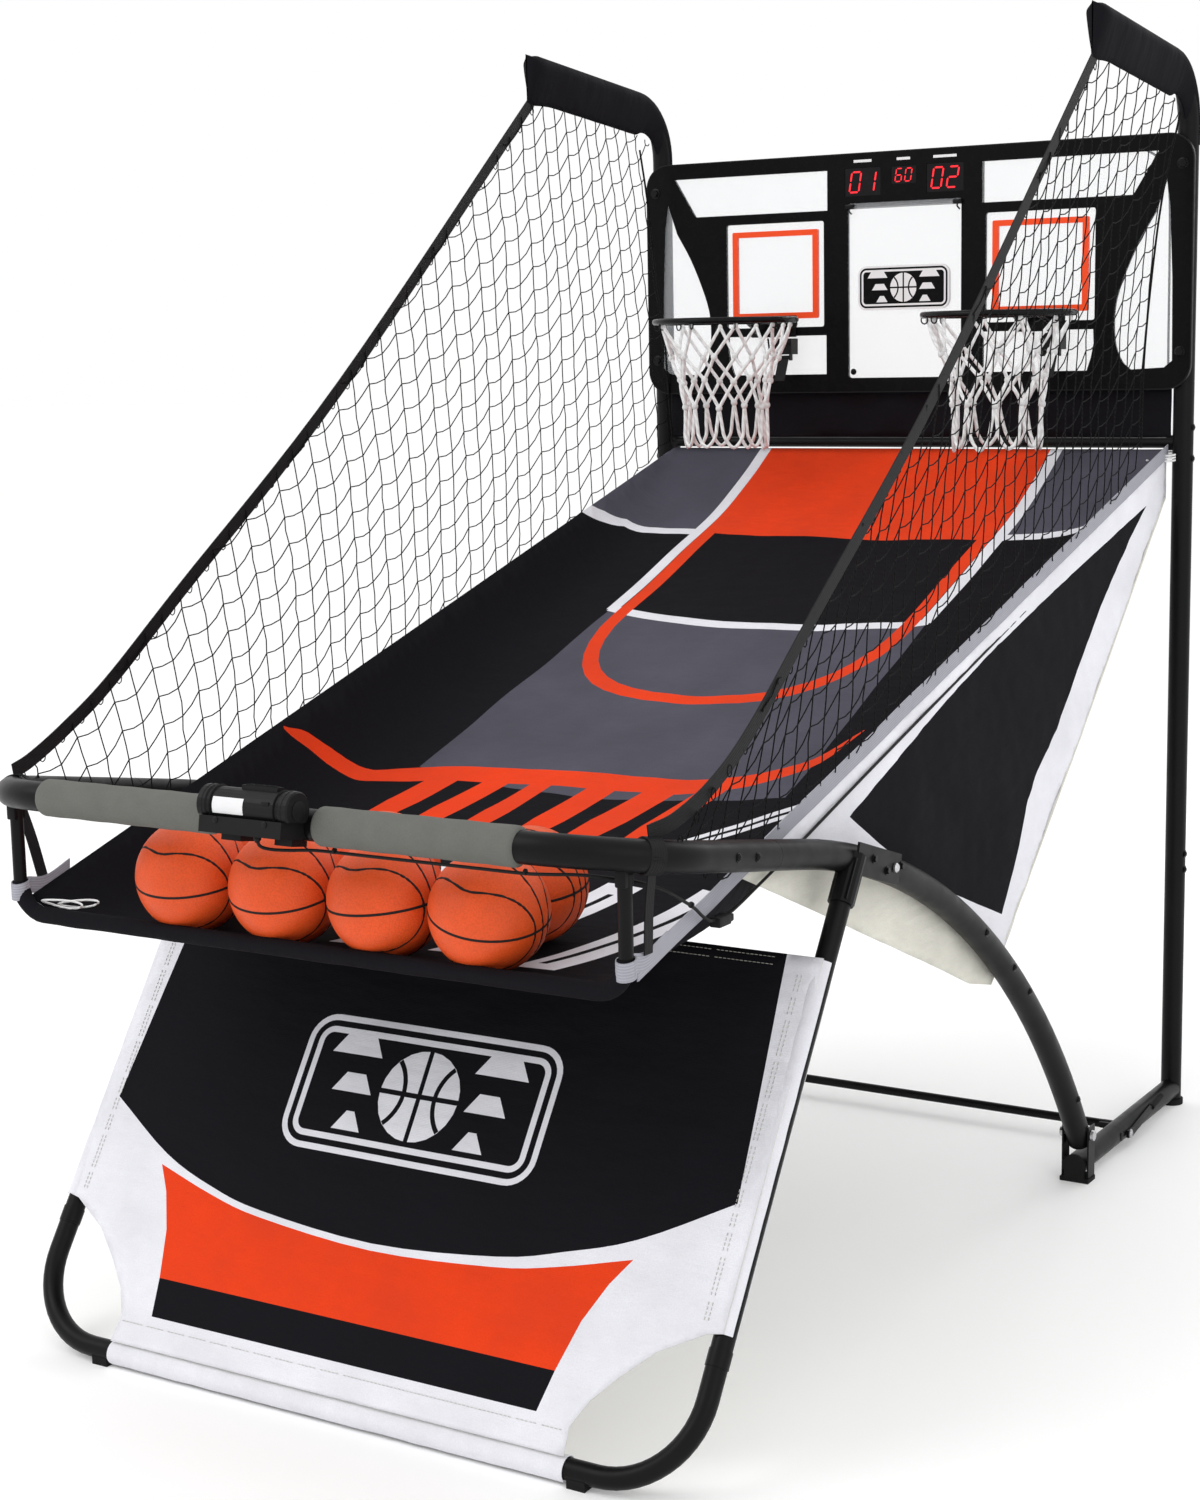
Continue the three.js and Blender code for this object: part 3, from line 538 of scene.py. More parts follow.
    def layers(self, outer, inner, wide, step, heights):
        """Two layers of cloth sewn round their rim, as grids with `wide` points in a row.

        A column is `step` wide on the cloth as cut; heights says how far along each row is."""
        total, rows = len(outer), len(outer) // wide
        faces, flat = [], []
        for j in range(rows - 1):
            for k in range(wide - 1):
                low, high = j * wide + k, (j + 1) * wide + k
                ring = (low, low + 1, high + 1, high)
                places = [((r % wide) * step, heights[r // wide]) for r in ring]
                faces += [ring, tuple(total + r for r in ring[::-1])]
                flat += [places, places[::-1]]
        left = [j * wide for j in range(rows)]
        right = [j * wide + wide - 1 for j in range(rows)][::-1]
        first = list(range(wide))[::-1]
        last = list(range(total - wide, total))
        for edge in (left, right, first, last):
            for a, b in zip(edge, edge[1:]):
                faces.append((a, b, b + total, a + total))
                flat.append([(0, 0)] * 4)
        return self.add(outer + inner, faces, 0, flat)

    def make(self, name, looks, body=None, smooth=38, slot=None, replaces=""):
        """The finished piece. With no body, it is left unattached."""
        looks = [looks] if isinstance(looks, str) else looks
        mesh = bpy.data.meshes.new(name)
        mesh.from_pydata([at(p) for p in self.points], [], self.faces)
        for look in looks:
            mesh.materials.append(LOOKS[look])
        mesh.polygons.foreach_set("material_index", self.looks)
        mesh.polygons.foreach_set("use_smooth", [True] * len(mesh.polygons))
        layer = mesh.uv_layers.new(name="cloth")
        layer.data.foreach_set("uv", [c for face in self.flat for uv in face for c in uv])
        mesh.set_sharp_from_angle(angle=radians(smooth))
        mesh.validate()
        piece = bpy.data.objects.new(name, mesh)
        bpy.context.scene.collection.objects.link(piece)
        slot = slot or SLOTS.get(looks[0])
        if body:
            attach(piece, body)
        if replaces:
            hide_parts(*replaces.split())
        return piece


def across_fold(piece):
    """Cloth, net or cable that runs from the rear frame to the front frame; its place is baked into its mesh
    and it is attached to neither frame.
    """
    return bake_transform(piece)


def inside(polygon, points):
    """Which of the points, an array of pairs, lie in a polygon."""
    corners = np.array(polygon, float)
    x, y = points[:, 0], points[:, 1]
    found = np.zeros(len(points), bool)
    for (ax, ay), (bx, by) in zip(corners, np.roll(corners, -1, axis=0)):
        crosses = (ay > y) != (by > y)
        if ay != by:
            found ^= crosses & (x < (bx - ax) * (y - ay) / (by - ay) + ax)
    return found


def divided(polygon, step):
    """A closed outline with no side longer than the step."""
    out = []
    for a, b in zip(polygon, polygon[1:] + polygon[:1]):
        parts = max(1, math.ceil(math.dist(a, b) / step))
        out += [(a[0] + (b[0] - a[0]) * k / parts, a[1] + (b[1] - a[1]) * k / parts) for k in range(parts)]
    return out


HOLE = -1


def printed_sheet(shape, outline, prints, surface, step=15, thickness=1.2, back=None):
    """Cloth cut to an outline with regions of print, laid on a surface of (u, v) in millimetres.

    prints is a list of (polygon, look number), where a later one covers an earlier one."""
    rim = divided(outline, step)
    rings = [rim] + [divided(polygon, step) for polygon, _ in prints]
    points, edges = [], []
    for ring in rings:
        first = len(points)
        points += ring
        edges += [(first + k, first + (k + 1) % len(ring)) for k in range(len(ring))]
    fixed = np.array(points)
    low, high = fixed[: len(rim)].min(0), fixed[: len(rim)].max(0)
    grid = np.array([
        (u + (step / 2 if row % 2 else 0), v)
        for row, v in enumerate(np.arange(low[1] + step / 2, high[1], step * 0.87))
        for u in np.arange(low[0] + step / 2, high[0], step)
    ])
    grid = grid[inside(rim, grid)]
    parts = [part for part in np.array_split(grid, 20) if len(part)]
    near = [np.sqrt(((part[:, None, :] - fixed[None]) ** 2).sum(2)).min(1) for part in parts]
    points += [tuple(p) for p in grid[np.concatenate(near) > 0.55 * step]]
    found, _, faces, *_ = delaunay_2d_cdt([Vector(p) for p in points], edges, [], 0, 1e-3)
    flat = np.array([tuple(p) for p in found])
    middles = np.array([flat[list(f)].mean(0) for f in faces])
    looks = np.zeros(len(faces), int)
    for polygon, look in prints:
        looks[inside(polygon, middles)] = look
    kept = inside(rim, middles) & (looks != HOLE)
    faces = [tuple(f) for f, keep in zip(faces, kept) if keep]
    looks = [int(n) for n in looks[kept]]

    top = [Vector(surface(u, v)) for u, v in flat]
    normals = [Vector() for _ in top]
    for face in faces:
        a, b, c = (top[i] for i in face)
        for i in face:
            normals[i] += (b - a).cross(c - a)
    under = [p - n.normalized() * thickness if n.length else p for p, n in zip(top, normals)]
    count = len(top)
    uvs = [[(flat[i][0] / 1000, flat[i][1] / 1000) for i in f] for f in faces]
    back_looks = looks if back is None else [back] * len(faces)
    used = {edge for face in faces for edge in zip(face, face[1:] + face[:1])}
    rim_faces = [(b, a, a + count, b + count) for a, b in used if (b, a) not in used]
    shape.add(
        top + under,
        faces + [tuple(i + count for i in f[::-1]) for f in faces] + rim_faces,
        looks + back_looks + [back_looks[0]] * len(rim_faces),
        uvs + [uv[::-1] for uv in uvs] + [[(0, 0)] * 4] * len(rim_faces),
    )
    return shape


def ripple(x, y, size, height, seed=0.0):
    """Soft unevenness of a surface, in millimetres."""
    return height * noise.noise(Vector((x / size + seed, y / size - seed, seed)))


def dress(nodes, look, bevel):
    """CAD nodes that stay in view get their material and softened edges."""
    for name in nodes:
        node = frame["nodes"][name]
        node.data.materials.clear()
        node.data.materials.append(LOOKS[look])
        edge = node.modifiers.new("soft_edges", "BEVEL")
        edge.width = bevel / 1000
        edge.segments = 2
        edge.limit_method = "ANGLE"
        edge.angle_limit = radians(50)
        edge.harden_normals = True
        node.data.polygons.foreach_set("use_smooth", [True] * len(node.data.polygons))
        node.data.set_sharp_from_angle(angle=radians(35))


def dress_cad_nodes():
    for parts, look, bevel in (
        ("rear_foot front_foot", "rubber", 1.2),
        ("leg_bumper", "rubber", 2),
        ("clevis leg_yoke", "steel", 0.8),
        ("lock_lever", "steel", 1.2),
        ("pivot_bolt leg_pin", "zinc", 0.5),
        ("score_sensor", "plastic", 1.2),
        ("score_paddle", "plastic", 0.5),
    ):
        dress([f"{part}_{side}" for part in parts.split() for side, _ in SIDES], look, bevel)
    dress(["control_base", "control_housing", "control_button"], "plastic", 1.0)
    dress(["display_module"], "lens", 0.4)
    dress(["scorer_housing"], "plastic", 2.0)


def screw(shape, place, direction, radius=5.5):
    """A pan-head screw with a cross recess, on a washer."""
    height = 3.4
    direction = Vector(direction).normalized()
    shape.turned(
        [(radius * 1.35, 0), (radius * 1.35, 0.9), (radius, 0.9), (radius * 0.95, height * 0.6),
         (radius * 0.6, height * 0.95), (radius * 0.2, height)],
        place, direction, 16,
    )
    side = across(direction)
    middle = Vector(place) + direction * (height + 0.15)
    for arm in (side, direction.cross(side)):
        half = arm * radius * 0.5
        shape.band([middle - half, middle + half], direction.cross(arm), 1.1, 0.5)


def hex_head(shape, place, direction, radius, height):
    """A hexagon bolt head on a washer, with its shank's domed end."""
    shape.turned([(radius * 1.3, 0), (radius * 1.3, 1.2), (radius * 1.25, 1.4)], place, direction)
    base = Vector(place) + Vector(direction).normalized() * 1.4
    shape.turned([(radius, 0), (radius, height * 0.8), (radius * 0.86, height)], base, direction, 6)


# ---------------------------------------------------------------- rear frame
def arm_path(x, steps=10):
    """Centre line of an upright's upper part and the net arm bent forward from it."""
    return filleted([(x, 0, UPRIGHT_JOINT + 0.3), (x, 0, ARM_CORNER), (x, *ARM_TIP)], 110, steps)


def add_rear_frame():
    for name, sign in SIDES:
        x = sign * HALF_WIDTH
        tubes = Shape()
        tubes.tube([(x, 0, 11), (x, 0, UPRIGHT_JOINT - 0.4)], UPRIGHT_RADIUS, 32)
        tubes.tube([(x, 0, UPRIGHT_JOINT - 2), (x, 0, UPRIGHT_JOINT + 2)], UPRIGHT_RADIUS - 0.9, 32)
        tubes.tube(arm_path(x), UPRIGHT_RADIUS, 32)
        tubes.make(f"rear_tubes_{name}", "steel", "base", replaces=f"upright_{name} net_arm_{name}")
        rail = Shape().tube([(x, -516, FLOOR_RAIL_Z), (x, -6, FLOOR_RAIL_Z)], UPRIGHT_RADIUS, 32)
        stub = (x + sign * (UPRIGHT_RADIUS - 1), -330, FLOOR_RAIL_Z)
        rail.turned([(8, -1), (8, 1.5), (5, 2.5)], stub, (sign, 0, 0), 16)
        rail.make(f"floor_rail_tube_{name}", "steel", "base", replaces=f"floor_rail_{name}")
        fasteners = Shape()
        outside = x + sign * (UPRIGHT_RADIUS - 0.5)
        for height in (1290, 1233, 490, 460):
            screw(fasteners, (outside, 0, height), (sign, 0, 0))
        screw(fasteners, (x, UPRIGHT_RADIUS - 0.5, 1344), (0, 1, 0))
        fasteners.make(f"upright_screws_{name}", "gloss_steel", "base")

    bars = Shape().tube([(-534, -272, FLOOR_RAIL_Z), (534, -272, FLOOR_RAIL_Z)], 8, 24)
    rear = Shape().tube([(-534, 0, CROSSBAR_Z), (534, 0, CROSSBAR_Z)], 10, 24)
    for _, sign in SIDES:
        bars.block((sign * 520 - 14, -284, 24), (sign * 520 + 14, -260, 36), 4)
        rear.block((sign * 528 - 9, -8, CROSSBAR_Z - 14), (sign * 528 + 9, 8, CROSSBAR_Z + 14), 3)
    bars.make("floor_crossbar_tube", "steel", "base", replaces="floor_crossbar")
    rear.make("rear_crossbar_tube", "steel", "base", replaces="rear_crossbar")


def body_with(node):
    """Name of the moving body that holds a CAD node."""
    return frame["nodes"][node].parent.name.split(":", 1)[1]


def add_lock_details():
    for name, sign in SIDES:
        body = body_with(f"lock_lever_{name}")
        outside = sign * (HALF_WIDTH + UPRIGHT_RADIUS + 5.8)
        lever = Shape()
        screw(lever, (outside, -299, 28), (sign, 0, 0), 6)
        lever.make(f"lock_screw_{name}", "zinc", body)
        path = [(outside - sign * 2.5, y, z) for y, z in ((-180, 44), (-150, 48.5), (-126, 51))]
        grip = Shape().tube(path, lambda t: 6.5 - 2 * abs(t - 0.4), 16)
        grip.make(f"lock_grip_{name}", "rubber", body)


# ---------------------------------------------------------------- front frame and legs
def arc_place(x, angle):
    return Vector((x, ARC_Y + ARC_RADIUS * sin(angle), ARC_Z + ARC_RADIUS * cos(angle)))


def arc_height(y):
    """Height of the arc leg's centre line at a place along the machine."""
    return ARC_Z + math.sqrt(ARC_RADIUS**2 - (y - ARC_Y) ** 2)


def u_corners(end, corner):
    """Corners of a bar bent in a U, from the end and the corner on its right side."""
    return [end, corner] + [(-x, y, z) for x, y, z in (corner, end)]


def add_front_frame():
    foot = radians(57.3)
    for name, sign in SIDES:
        x = sign * HALF_WIDTH
        leg = Shape()
        steps = [RAIL_SLOPE + (foot - RAIL_SLOPE) * k / 30 for k in range(31)]
        leg.tube([(x, SEAM_Y + 0.4, SEAM_Z)] + [arc_place(x, a) for a in steps], RAIL_RADIUS, 32)
        leg.tube([(x, SEAM_Y - 3, SEAM_Z + 0.5), (x, SEAM_Y + 3, SEAM_Z - 0.5)], RAIL_RADIUS - 0.9, 32)
        leg.make(f"arc_tube_{name}", "steel", "front_frame", replaces=f"arc_leg_{name}")
        heads = Shape()
        outside = x + sign * (RAIL_RADIUS - 0.4)
        spots = [(y, arc_height(y)) for y in (-970, -855, -788, -560)]
        spots += [(y, SEAM_Z + (SEAM_Y - y) * math.tan(RAIL_SLOPE)) for y in (-1779, -1727)]
        for y, z in spots:
            screw(heads, (outside, y, z), (sign, 0, 0), 5)
        heads.make(f"frame_screws_{name}", "gloss_steel", "front_frame")

    bend = u_corners((HALF_WIDTH, -0.4, 0), (HALF_WIDTH, -RAIL_LENGTH, 0))
    rail = Shape(RAIL_PLANE).tube(filleted(bend, 155, 14), RAIL_RADIUS, 32)
    rail.make("front_rail_tube", "steel", "front_frame", replaces="front_rail")

    tray = Shape().tube(filleted(tray_corners(822), 45, 10), 9.5, 24)
    for _, sign in SIDES:
        x = sign * TRAY_HALF_WIDTH
        tray.block((x - 8, TRAY_Y - 12, 806), (x + 8, TRAY_Y + 10, 832), 3)
    tray.make("tray_frame_tube", "steel", "front_frame", replaces="tray_tube")


def tray_corners(top):
    """Corners of the U-shaped tray bar, or of cloth round it, up to a height."""
    return u_corners((TRAY_HALF_WIDTH, TRAY_Y, top), (TRAY_HALF_WIDTH, TRAY_Y, TRAY_Z))


def add_front_legs():
    bend = u_corners((LEG_HALF_WIDTH, 0, 4), (LEG_HALF_WIDTH, 0, -LEG_LENGTH))
    legs = Shape(LEG_PLANE).tube(filleted(bend, 125, 14), LEG_RADIUS, 28)
    heads = Shape()
    for _, sign in SIDES:
        x = sign * LEG_HALF_WIDTH
        legs.tube([(x, 0, -660), (x, 0, -683)], LEG_RADIUS + 1.1, 28)
        screw(legs, (x, -LEG_RADIUS + 0.5, -20), (0, -1, 0), 4.5)
        for y, drop in ((-1390, 4), (-1348, -8), (-1300, 6)):
            place = (sign * (HALF_WIDTH + RAIL_RADIUS + 4), y, arc_height(y) + drop)
            hex_head(heads, place, (sign, 0, 0), 5, 3.2)
    legs.make("leg_tube", "steel", "front_legs", replaces="leg_frame")
    heads.make("yoke_bolts", "gloss_steel", "front_legs")


def add_foam_pads():
    half, end, core = 153.5, 7, 21.4
    rounding = [radians(15 * k) for k in range(7)]
    edge = [(26 - end + end * sin(a), end - half - end * cos(a)) for a in rounding]
    body = [(25.9 + 0.35 * sin(k * 1.7), -half + 12 + (2 * half - 24) * k / 16) for k in range(17)]
    profile = [(core, 2 - half)] + edge + body + [(r, -a) for r, a in edge[::-1]] + [(core, half - 2)]
    for name, sign in SIDES:
        pad = Shape(RAIL_PLANE @ Matrix.Translation((sign * 238.5, -RAIL_LENGTH, 0)))
        pad.turned(profile, (0, 0, 0), (1, 0, 0), 40)
        piece = pad.make(f"foam_grip_{name}", "foam", "front_frame", replaces=f"foam_pad_{name}")


def add_control_unit():
    unit = RAIL_PLANE @ Matrix.Translation((7, -RAIL_LENGTH - 43.3, 18.4))
    trim = Shape(unit)
    button = 15
    for end in (-1, 1):
        for offset, height in ((64.5, 1.2), (52, 0.7)):
            bead = [(24.6, -height), (25.6, 0), (24.6, height)]
            trim.turned(bead, (end * offset, 0, 0), (1, 0, 0), 40)
        trim.turned([(13, 0), (13, 1), (11, 1.6), (4, 1.8)], (end * 74, 0, 0), (end, 0, 0), 32)
    trim.turned([(5, 0), (5, 4), (3.4, 6), (3.2, 8)], (button, -4.5, -37), (0, 0, -1), 20)
    for x in (-40, 40):
        trim.turned([(4.2, 0), (4.2, 1), (3, 1.6)], (x, -24, -20), (0, -1, 0), 16)
    for x in (38, 62):
        trim.block((x - 6, -23.6, 4), (x + 6, -21.6, 9), 0.8)
    trim.make("control_trim", "plastic", "front_frame")

    def wrapped(u, v):
        radius = 23.4
        angle = radians(182) - v / radius
        return (u, radius * cos(angle), radius * sin(angle))

    label = printed_sheet(Shape(unit), rectangle(-48, -11, 2, 11), [], wrapped, 4, 0.3)
    label.make("control_label", "white_plastic", "front_frame")

    pad = Shape(unit).block((button - 25, -5, 27.6), (button + 25, 5, 28.6), 0.5)
    for k in range(5):
        left = button - 20 + 9 * k
        pad.block((left, -4, 28.4), (left + 3.5, 4, 29.2), 0.35)
    pad.make("button_ribs", "rubber", body_with("control_button"))


# ---------------------------------------------------------------- control cable
CABLE_ROUTE = [
    (22, -2054.8, 842.5), (22, -2055, 840), (24, -2052, 832), (32, -2042, 827), (48, -2028, 824.5),
    (66, -2016, 824), (88, -2009.5, 824), (160, -2009.5, 824), (240, -2009.5, 824), (320, -2009.5, 824),
    (396, -2009, 824), (432, -2004, 825), (462, -1982, 823), (482, -1950, 815), (502, -1915, 805),
    (516, -1870, 786), (519, -1812, 756), (517, -1740, 722), (514, -1600, 750), (514, -1300, 838),
    (514, -1000, 925), (514, -700, 1012), (514, -400, 1100), (514, -150, 1172), (514, -30, 1205),
    (514, 8, 1228), (514, 17, 1262), (514, 16, 1320), (514, 12, 1450), (514, 10, 1600),
    (512, 8, 1720), (498, 6, 1770), (455, 4, 1797), (380, 3, 1800), (260, 3, 1800), (145.5, 3, 1800),
]  # fmt: skip


def add_cable():
    cable = Shape().tube(smoothed(CABLE_ROUTE, 5), 2.2, 10)
    across_fold(cable.make("cable_run", "cable", replaces="control_cable"))
    ties = Shape()
    for place, along in (
        ((400, -2009, 826), (1, 0, 0)),
        ((110, -2009.5, 826), (1, 0, 0)),
        ((519, -1812, 757), (0, 1, -0.5)),
        ((517, -1745, 724), (0, 1, -0.4)),
    ):
        ties.turned([(3.4, -1.6), (4.2, -1.2), (4.2, 1.2), (3.4, 1.6)], place, along, 20)
    ties.make("cable_ties", "plastic", "front_frame")
    plug = Shape()
    plug.block((509, -1748, 713), (525, -1716, 727), 2.5)
    plug.block((511, -1717, 715), (523, -1706, 725), 2)
    plug.make("cable_connector", "plastic", "front_frame")


# ---------------------------------------------------------------- backboard
def rounded(left, bottom, right, top, corner, steps=8):
    """A rectangle with round corners."""
    return (
        arc_of((right - corner, bottom + corner), corner, -90, 0, steps)
        + arc_of((right - corner, top - corner), corner, 0, 90, steps)
        + arc_of((left + corner, top - corner), corner, 90, 180, steps)
        + arc_of((left + corner, bottom + corner), corner, 180, 270, steps)
    )


def rectangle(left, bottom, right, top):
    return [(left, bottom), (right, bottom), (right, top), (left, top)]


def stripes(x, z, half_width, half_height, direction):
    """Three slanted bars that shorten from the top one down, on one side of a place."""
    bars = []
    for k in range(3):
        far = x + direction * half_width * (1 - 0.22 * k)
        low = z + half_height * (0.45 - 0.55 * k)
        high = low + half_height * 0.28
        lean = direction * half_height * 0.18
        bars.append([(x, low), (far, low), (far - lean, high), (x + lean, high)])
    return bars


def ball_mark(x, z, radius, ink, paper):
    """A plain ball sign: a disc crossed by two straight and two curved seams."""
    line, bow, opening = radius * 0.055, radius * 0.95, 47
    marks = [
        (arc_of((x, z), radius, 0, 345, 23), paper),
        (rectangle(x - line, z - radius, x + line, z + radius), ink),
        (rectangle(x - radius, z - line, x + radius, z + line), ink),
    ]
    for side in (-1, 1):
        centre = (x + side * radius * 1.35, z)
        start = 180 - opening if side > 0 else -opening
        outer, inner = (arc_of(centre, bow + cut, start, start + 2 * opening) for cut in (line, -line))
        marks.append((outer + inner[::-1], ink))
    return marks


def emblem(x, z, half_width, half_height, ink, paper):
    """A generic sign: a plate with an outline, a ball in the middle and bars at both sides."""
    ring = half_height * 0.09
    corner = half_height * 0.42
    marks = []
    for cut, look in ((0, paper), (ring, ink), (ring * 2, paper), (ring * 3, ink)):
        wide, high = half_width - cut, half_height - cut
        marks.append((rounded(x - wide, z - high, x + wide, z + high, max(corner - cut, 2)), look))
    radius = half_height * 0.66
    marks += ball_mark(x, z, radius, ink, paper)
    reach = half_width - ring * 5 - radius * 1.25
    for side in (-1, 1):
        marks += [(bar, paper) for bar in stripes(x + side * radius * 1.2, z, reach, half_height, side)]
    return marks


def board_prints():
    """Windows and print of the panel in X and Z. The looks are black, clear, orange and white."""
    clear, orange, white = 1, 2, 3
    bend = [(500, 1680), (470, 1630), (445, 1575), (428, 1525), (424, 1480), (428, 1440), (440, 1412),
            (456, 1397)]
    curve = smooth_line(bend, 3)
    marks = []
    for side in (-1, 1):
        for outline, look in (
            ([(162, 1712), (457, 1712), (504, 1788), (162, 1788)], clear),
            (rounded(170, 1489, 386, 1693, 4, 2), clear),
            (rounded(183, 1506, 373, 1678, 3, 2), orange),
            (rectangle(195, 1518, 361, 1667), clear),
            ([(165, 1396), (372, 1396), (380, 1420), (385, 1446), (384, 1472), (165, 1472)], clear),
            (curve + [(520, 1400), (535, 1412), (533, 1560), (527, 1690), (520, 1738)], clear),
            (curve[9:] + [(452, 1403), (436, 1440), (432, 1480), (437, 1525)], clear),
        ):
            marks.append(([(side * x, z) for x, z in outline], look))
    marks.append((rounded(-117, 1388, 120, 1723, 5, 2), clear))
    marks += emblem(0, 1560, 96, 42, 0, white)
    for x, half, low, high in ((-86, 38, 1736, 1790), (0, 26, 1755, 1789), (86, 38, 1736, 1790)):
        marks.append((rectangle(x - half, low, x + half, high), HOLE))
    for x, half in ((-86, 19), (0, 14), (86, 24)):
        marks.append((rectangle(x - half, 1800, x + half, 1805), white))
    return marks


def add_backboard():
    outline = rounded(-568, 1362, 568, 1816, 45)
    board = printed_sheet(Shape(), outline, board_prints(), lambda x, z: (x, BOARD_FRONT, z), 60, 6)
    looks = ["print_black", "clear", "print_orange", "print_white"]
    board.make("panel", looks, "base", 30, replaces="backboard")

    edge = [(x, -25.5, z) for x, z in rounded(-569, 1361, 569, 1817, 46, 10)]
    rim = Shape().band(edge, (0, 1, 0), 8, 3, closed=True)
    rim.make("panel_edging", "plastic", "base")

    fixings = Shape()
    for _, sign in SIDES:
        for z in (1763, 1428):
            hex_head(fixings, (sign * HALF_WIDTH, BOARD_FRONT, z), (0, -1, 0), 8, 6)
            fixings.turned([(9, 0), (9, 5)], (sign * HALF_WIDTH, -24, z), (0, 1, 0), 20)
    for x, z in ((-112, 1716), (114, 1716)):
        fixings.block((x - 9, -37, z - 4), (x + 9, BOARD_FRONT, z + 5), 1.5)
        fixings.tube([(x, -33, z), (x, -36, z - 8), (x + 5, -35, z - 14)], 1.6, 10)
    for x in (-106, 106):
        screw(fixings, (x, BOARD_FRONT, 1400), (0, -1, 0), 4.5)
    fixings.make("panel_bolts", "gloss_steel", "base")

    back = Shape()
    for x in (-120, 120):
        for z in (1735, 1790):
            screw(back, (x, 23, z), (0, 1, 0), 4)
    for x in (8 * k - 32 for k in range(9)):
        back.block((x - 2, 22.6, 1745), (x + 2, 24.4, 1780), 0.6)
    back.turned([(6, 0), (6, 5), (3.6, 8), (3.4, 13)], (132, 3, 1800), (1, 0, 0), 20)
    back.make("scorer_fittings", "plastic", "base")
    add_digits()


# Lit segments of each sign, from the seven segments a to g.
DIGITS = {"0": "abcdef", "1": "bc", "2": "abged", "6": "acdefg"}


def add_segment(shape, centre, half, thick, upright, base):
    """One slanted bar of a display, pointed at both ends."""
    bar = [(-half, 0), (thick - half, -thick), (half - thick, -thick), (half, 0), (half - thick, thick),
           (thick - half, thick)]
    if upright:
        bar = [(-v, u) for u, v in bar]
    front = [(centre[0] + u + (centre[1] + v - base) * 0.16, -28.9, centre[1] + v) for u, v in bar]
    sides = [(k, k + 6, (k + 1) % 6 + 6, (k + 1) % 6) for k in range(6)]
    shape.add(front + [(x, y + 0.5, z) for x, y, z in front],
              [tuple(range(6)), tuple(range(11, 5, -1))] + sides)


def add_digits():
    """Italic seven-segment numbers behind the panel's windows."""
    lit_segments = Shape()
    for text, middle, base, height in (("01", -86, 1763, 38), ("60", 0, 1772, 24), ("02", 86, 1763, 38)):
        width, quarter, thick = height * 0.52, height / 4, height * 0.042
        for place, sign in enumerate(text):
            x = middle + (place - 0.5) * width * 1.6
            left, right = x - width / 2, x + width / 2
            spots = {
                "a": (x, base + height / 2), "d": (x, base - height / 2), "g": (x, base),
                "b": (right, base + quarter), "c": (right, base - quarter),
                "f": (left, base + quarter), "e": (left, base - quarter),
            }
            for key in DIGITS[sign]:
                upright = key in "bcef"
                half = quarter - 1.2 if upright else width / 2 - 1.4
                add_segment(lit_segments, spots[key], half, thick, upright, base)
    lit_segments.make("display_digits", "led", "base", 20)


# ---------------------------------------------------------------- hoops
NET_CORDS = 10
NET_CORD_RADIUS = 3.3
NET_ROWS = ((0, 128), (-58, 104), (-104, 88), (-150, 82), (-232, 79))  # drop below the rim, radius


def add_hoop(name, sign):
    x = sign * HOOP_X
    rim = Shape()
    rim.tube(ring_of((x, HOOP_Y, HOOP_Z), (135, 0, 0), (0, 135, 0), 72), 6, 18, closed=True)
    rim.block((x - 50, -34, HOOP_Z - 32), (x + 50, -29.8, HOOP_Z + 10), 1.5)
    rim.block((x - 36, -102, HOOP_Z - 3), (x + 36, -31, HOOP_Z + 1), 1.5)
    for side in (-1, 1):
        bends = ((24, -100, 2), (30, -60, 14), (34, -34, 26))
        rim.tube([(x + side * out, y, HOOP_Z - drop) for out, y, drop in bends], 4, 14)
        hex_head(rim, (x + side * 40, -34, HOOP_Z - 16), (0, -1, 0), 6, 4)
    for a in turns(NET_CORDS, 0.5):
        out = Vector((cos(a), sin(a), 0))
        centre = Vector((x, HOOP_Y, HOOP_Z - 8)) + out * 133
        rim.tube(ring_of(centre, out * 6, (0, 0, 7.5), 12), 1.3, 8, closed=True)
    rim.make(f"rim_ring_{name}", "gloss_steel", "base", replaces=f"rim_{name}")
    add_hoop_net(name, x)
    sensor = Shape()
    middle = x + 32
    for side in (-1, 1):
        screw(sensor, (middle + side * 12, -59, HOOP_Z - 45), (0, -1, 0), 3.2)
    wire = ((12, -36, 1440), (26, -36, 1425), (40, -33, 1440), (46, -31, 1468))
    sensor.tube(smoothed([(middle - left, y, z) for left, y, z in wire]), 1.8, 8)
    sensor.make(f"sensor_fittings_{name}", "plastic", "base")


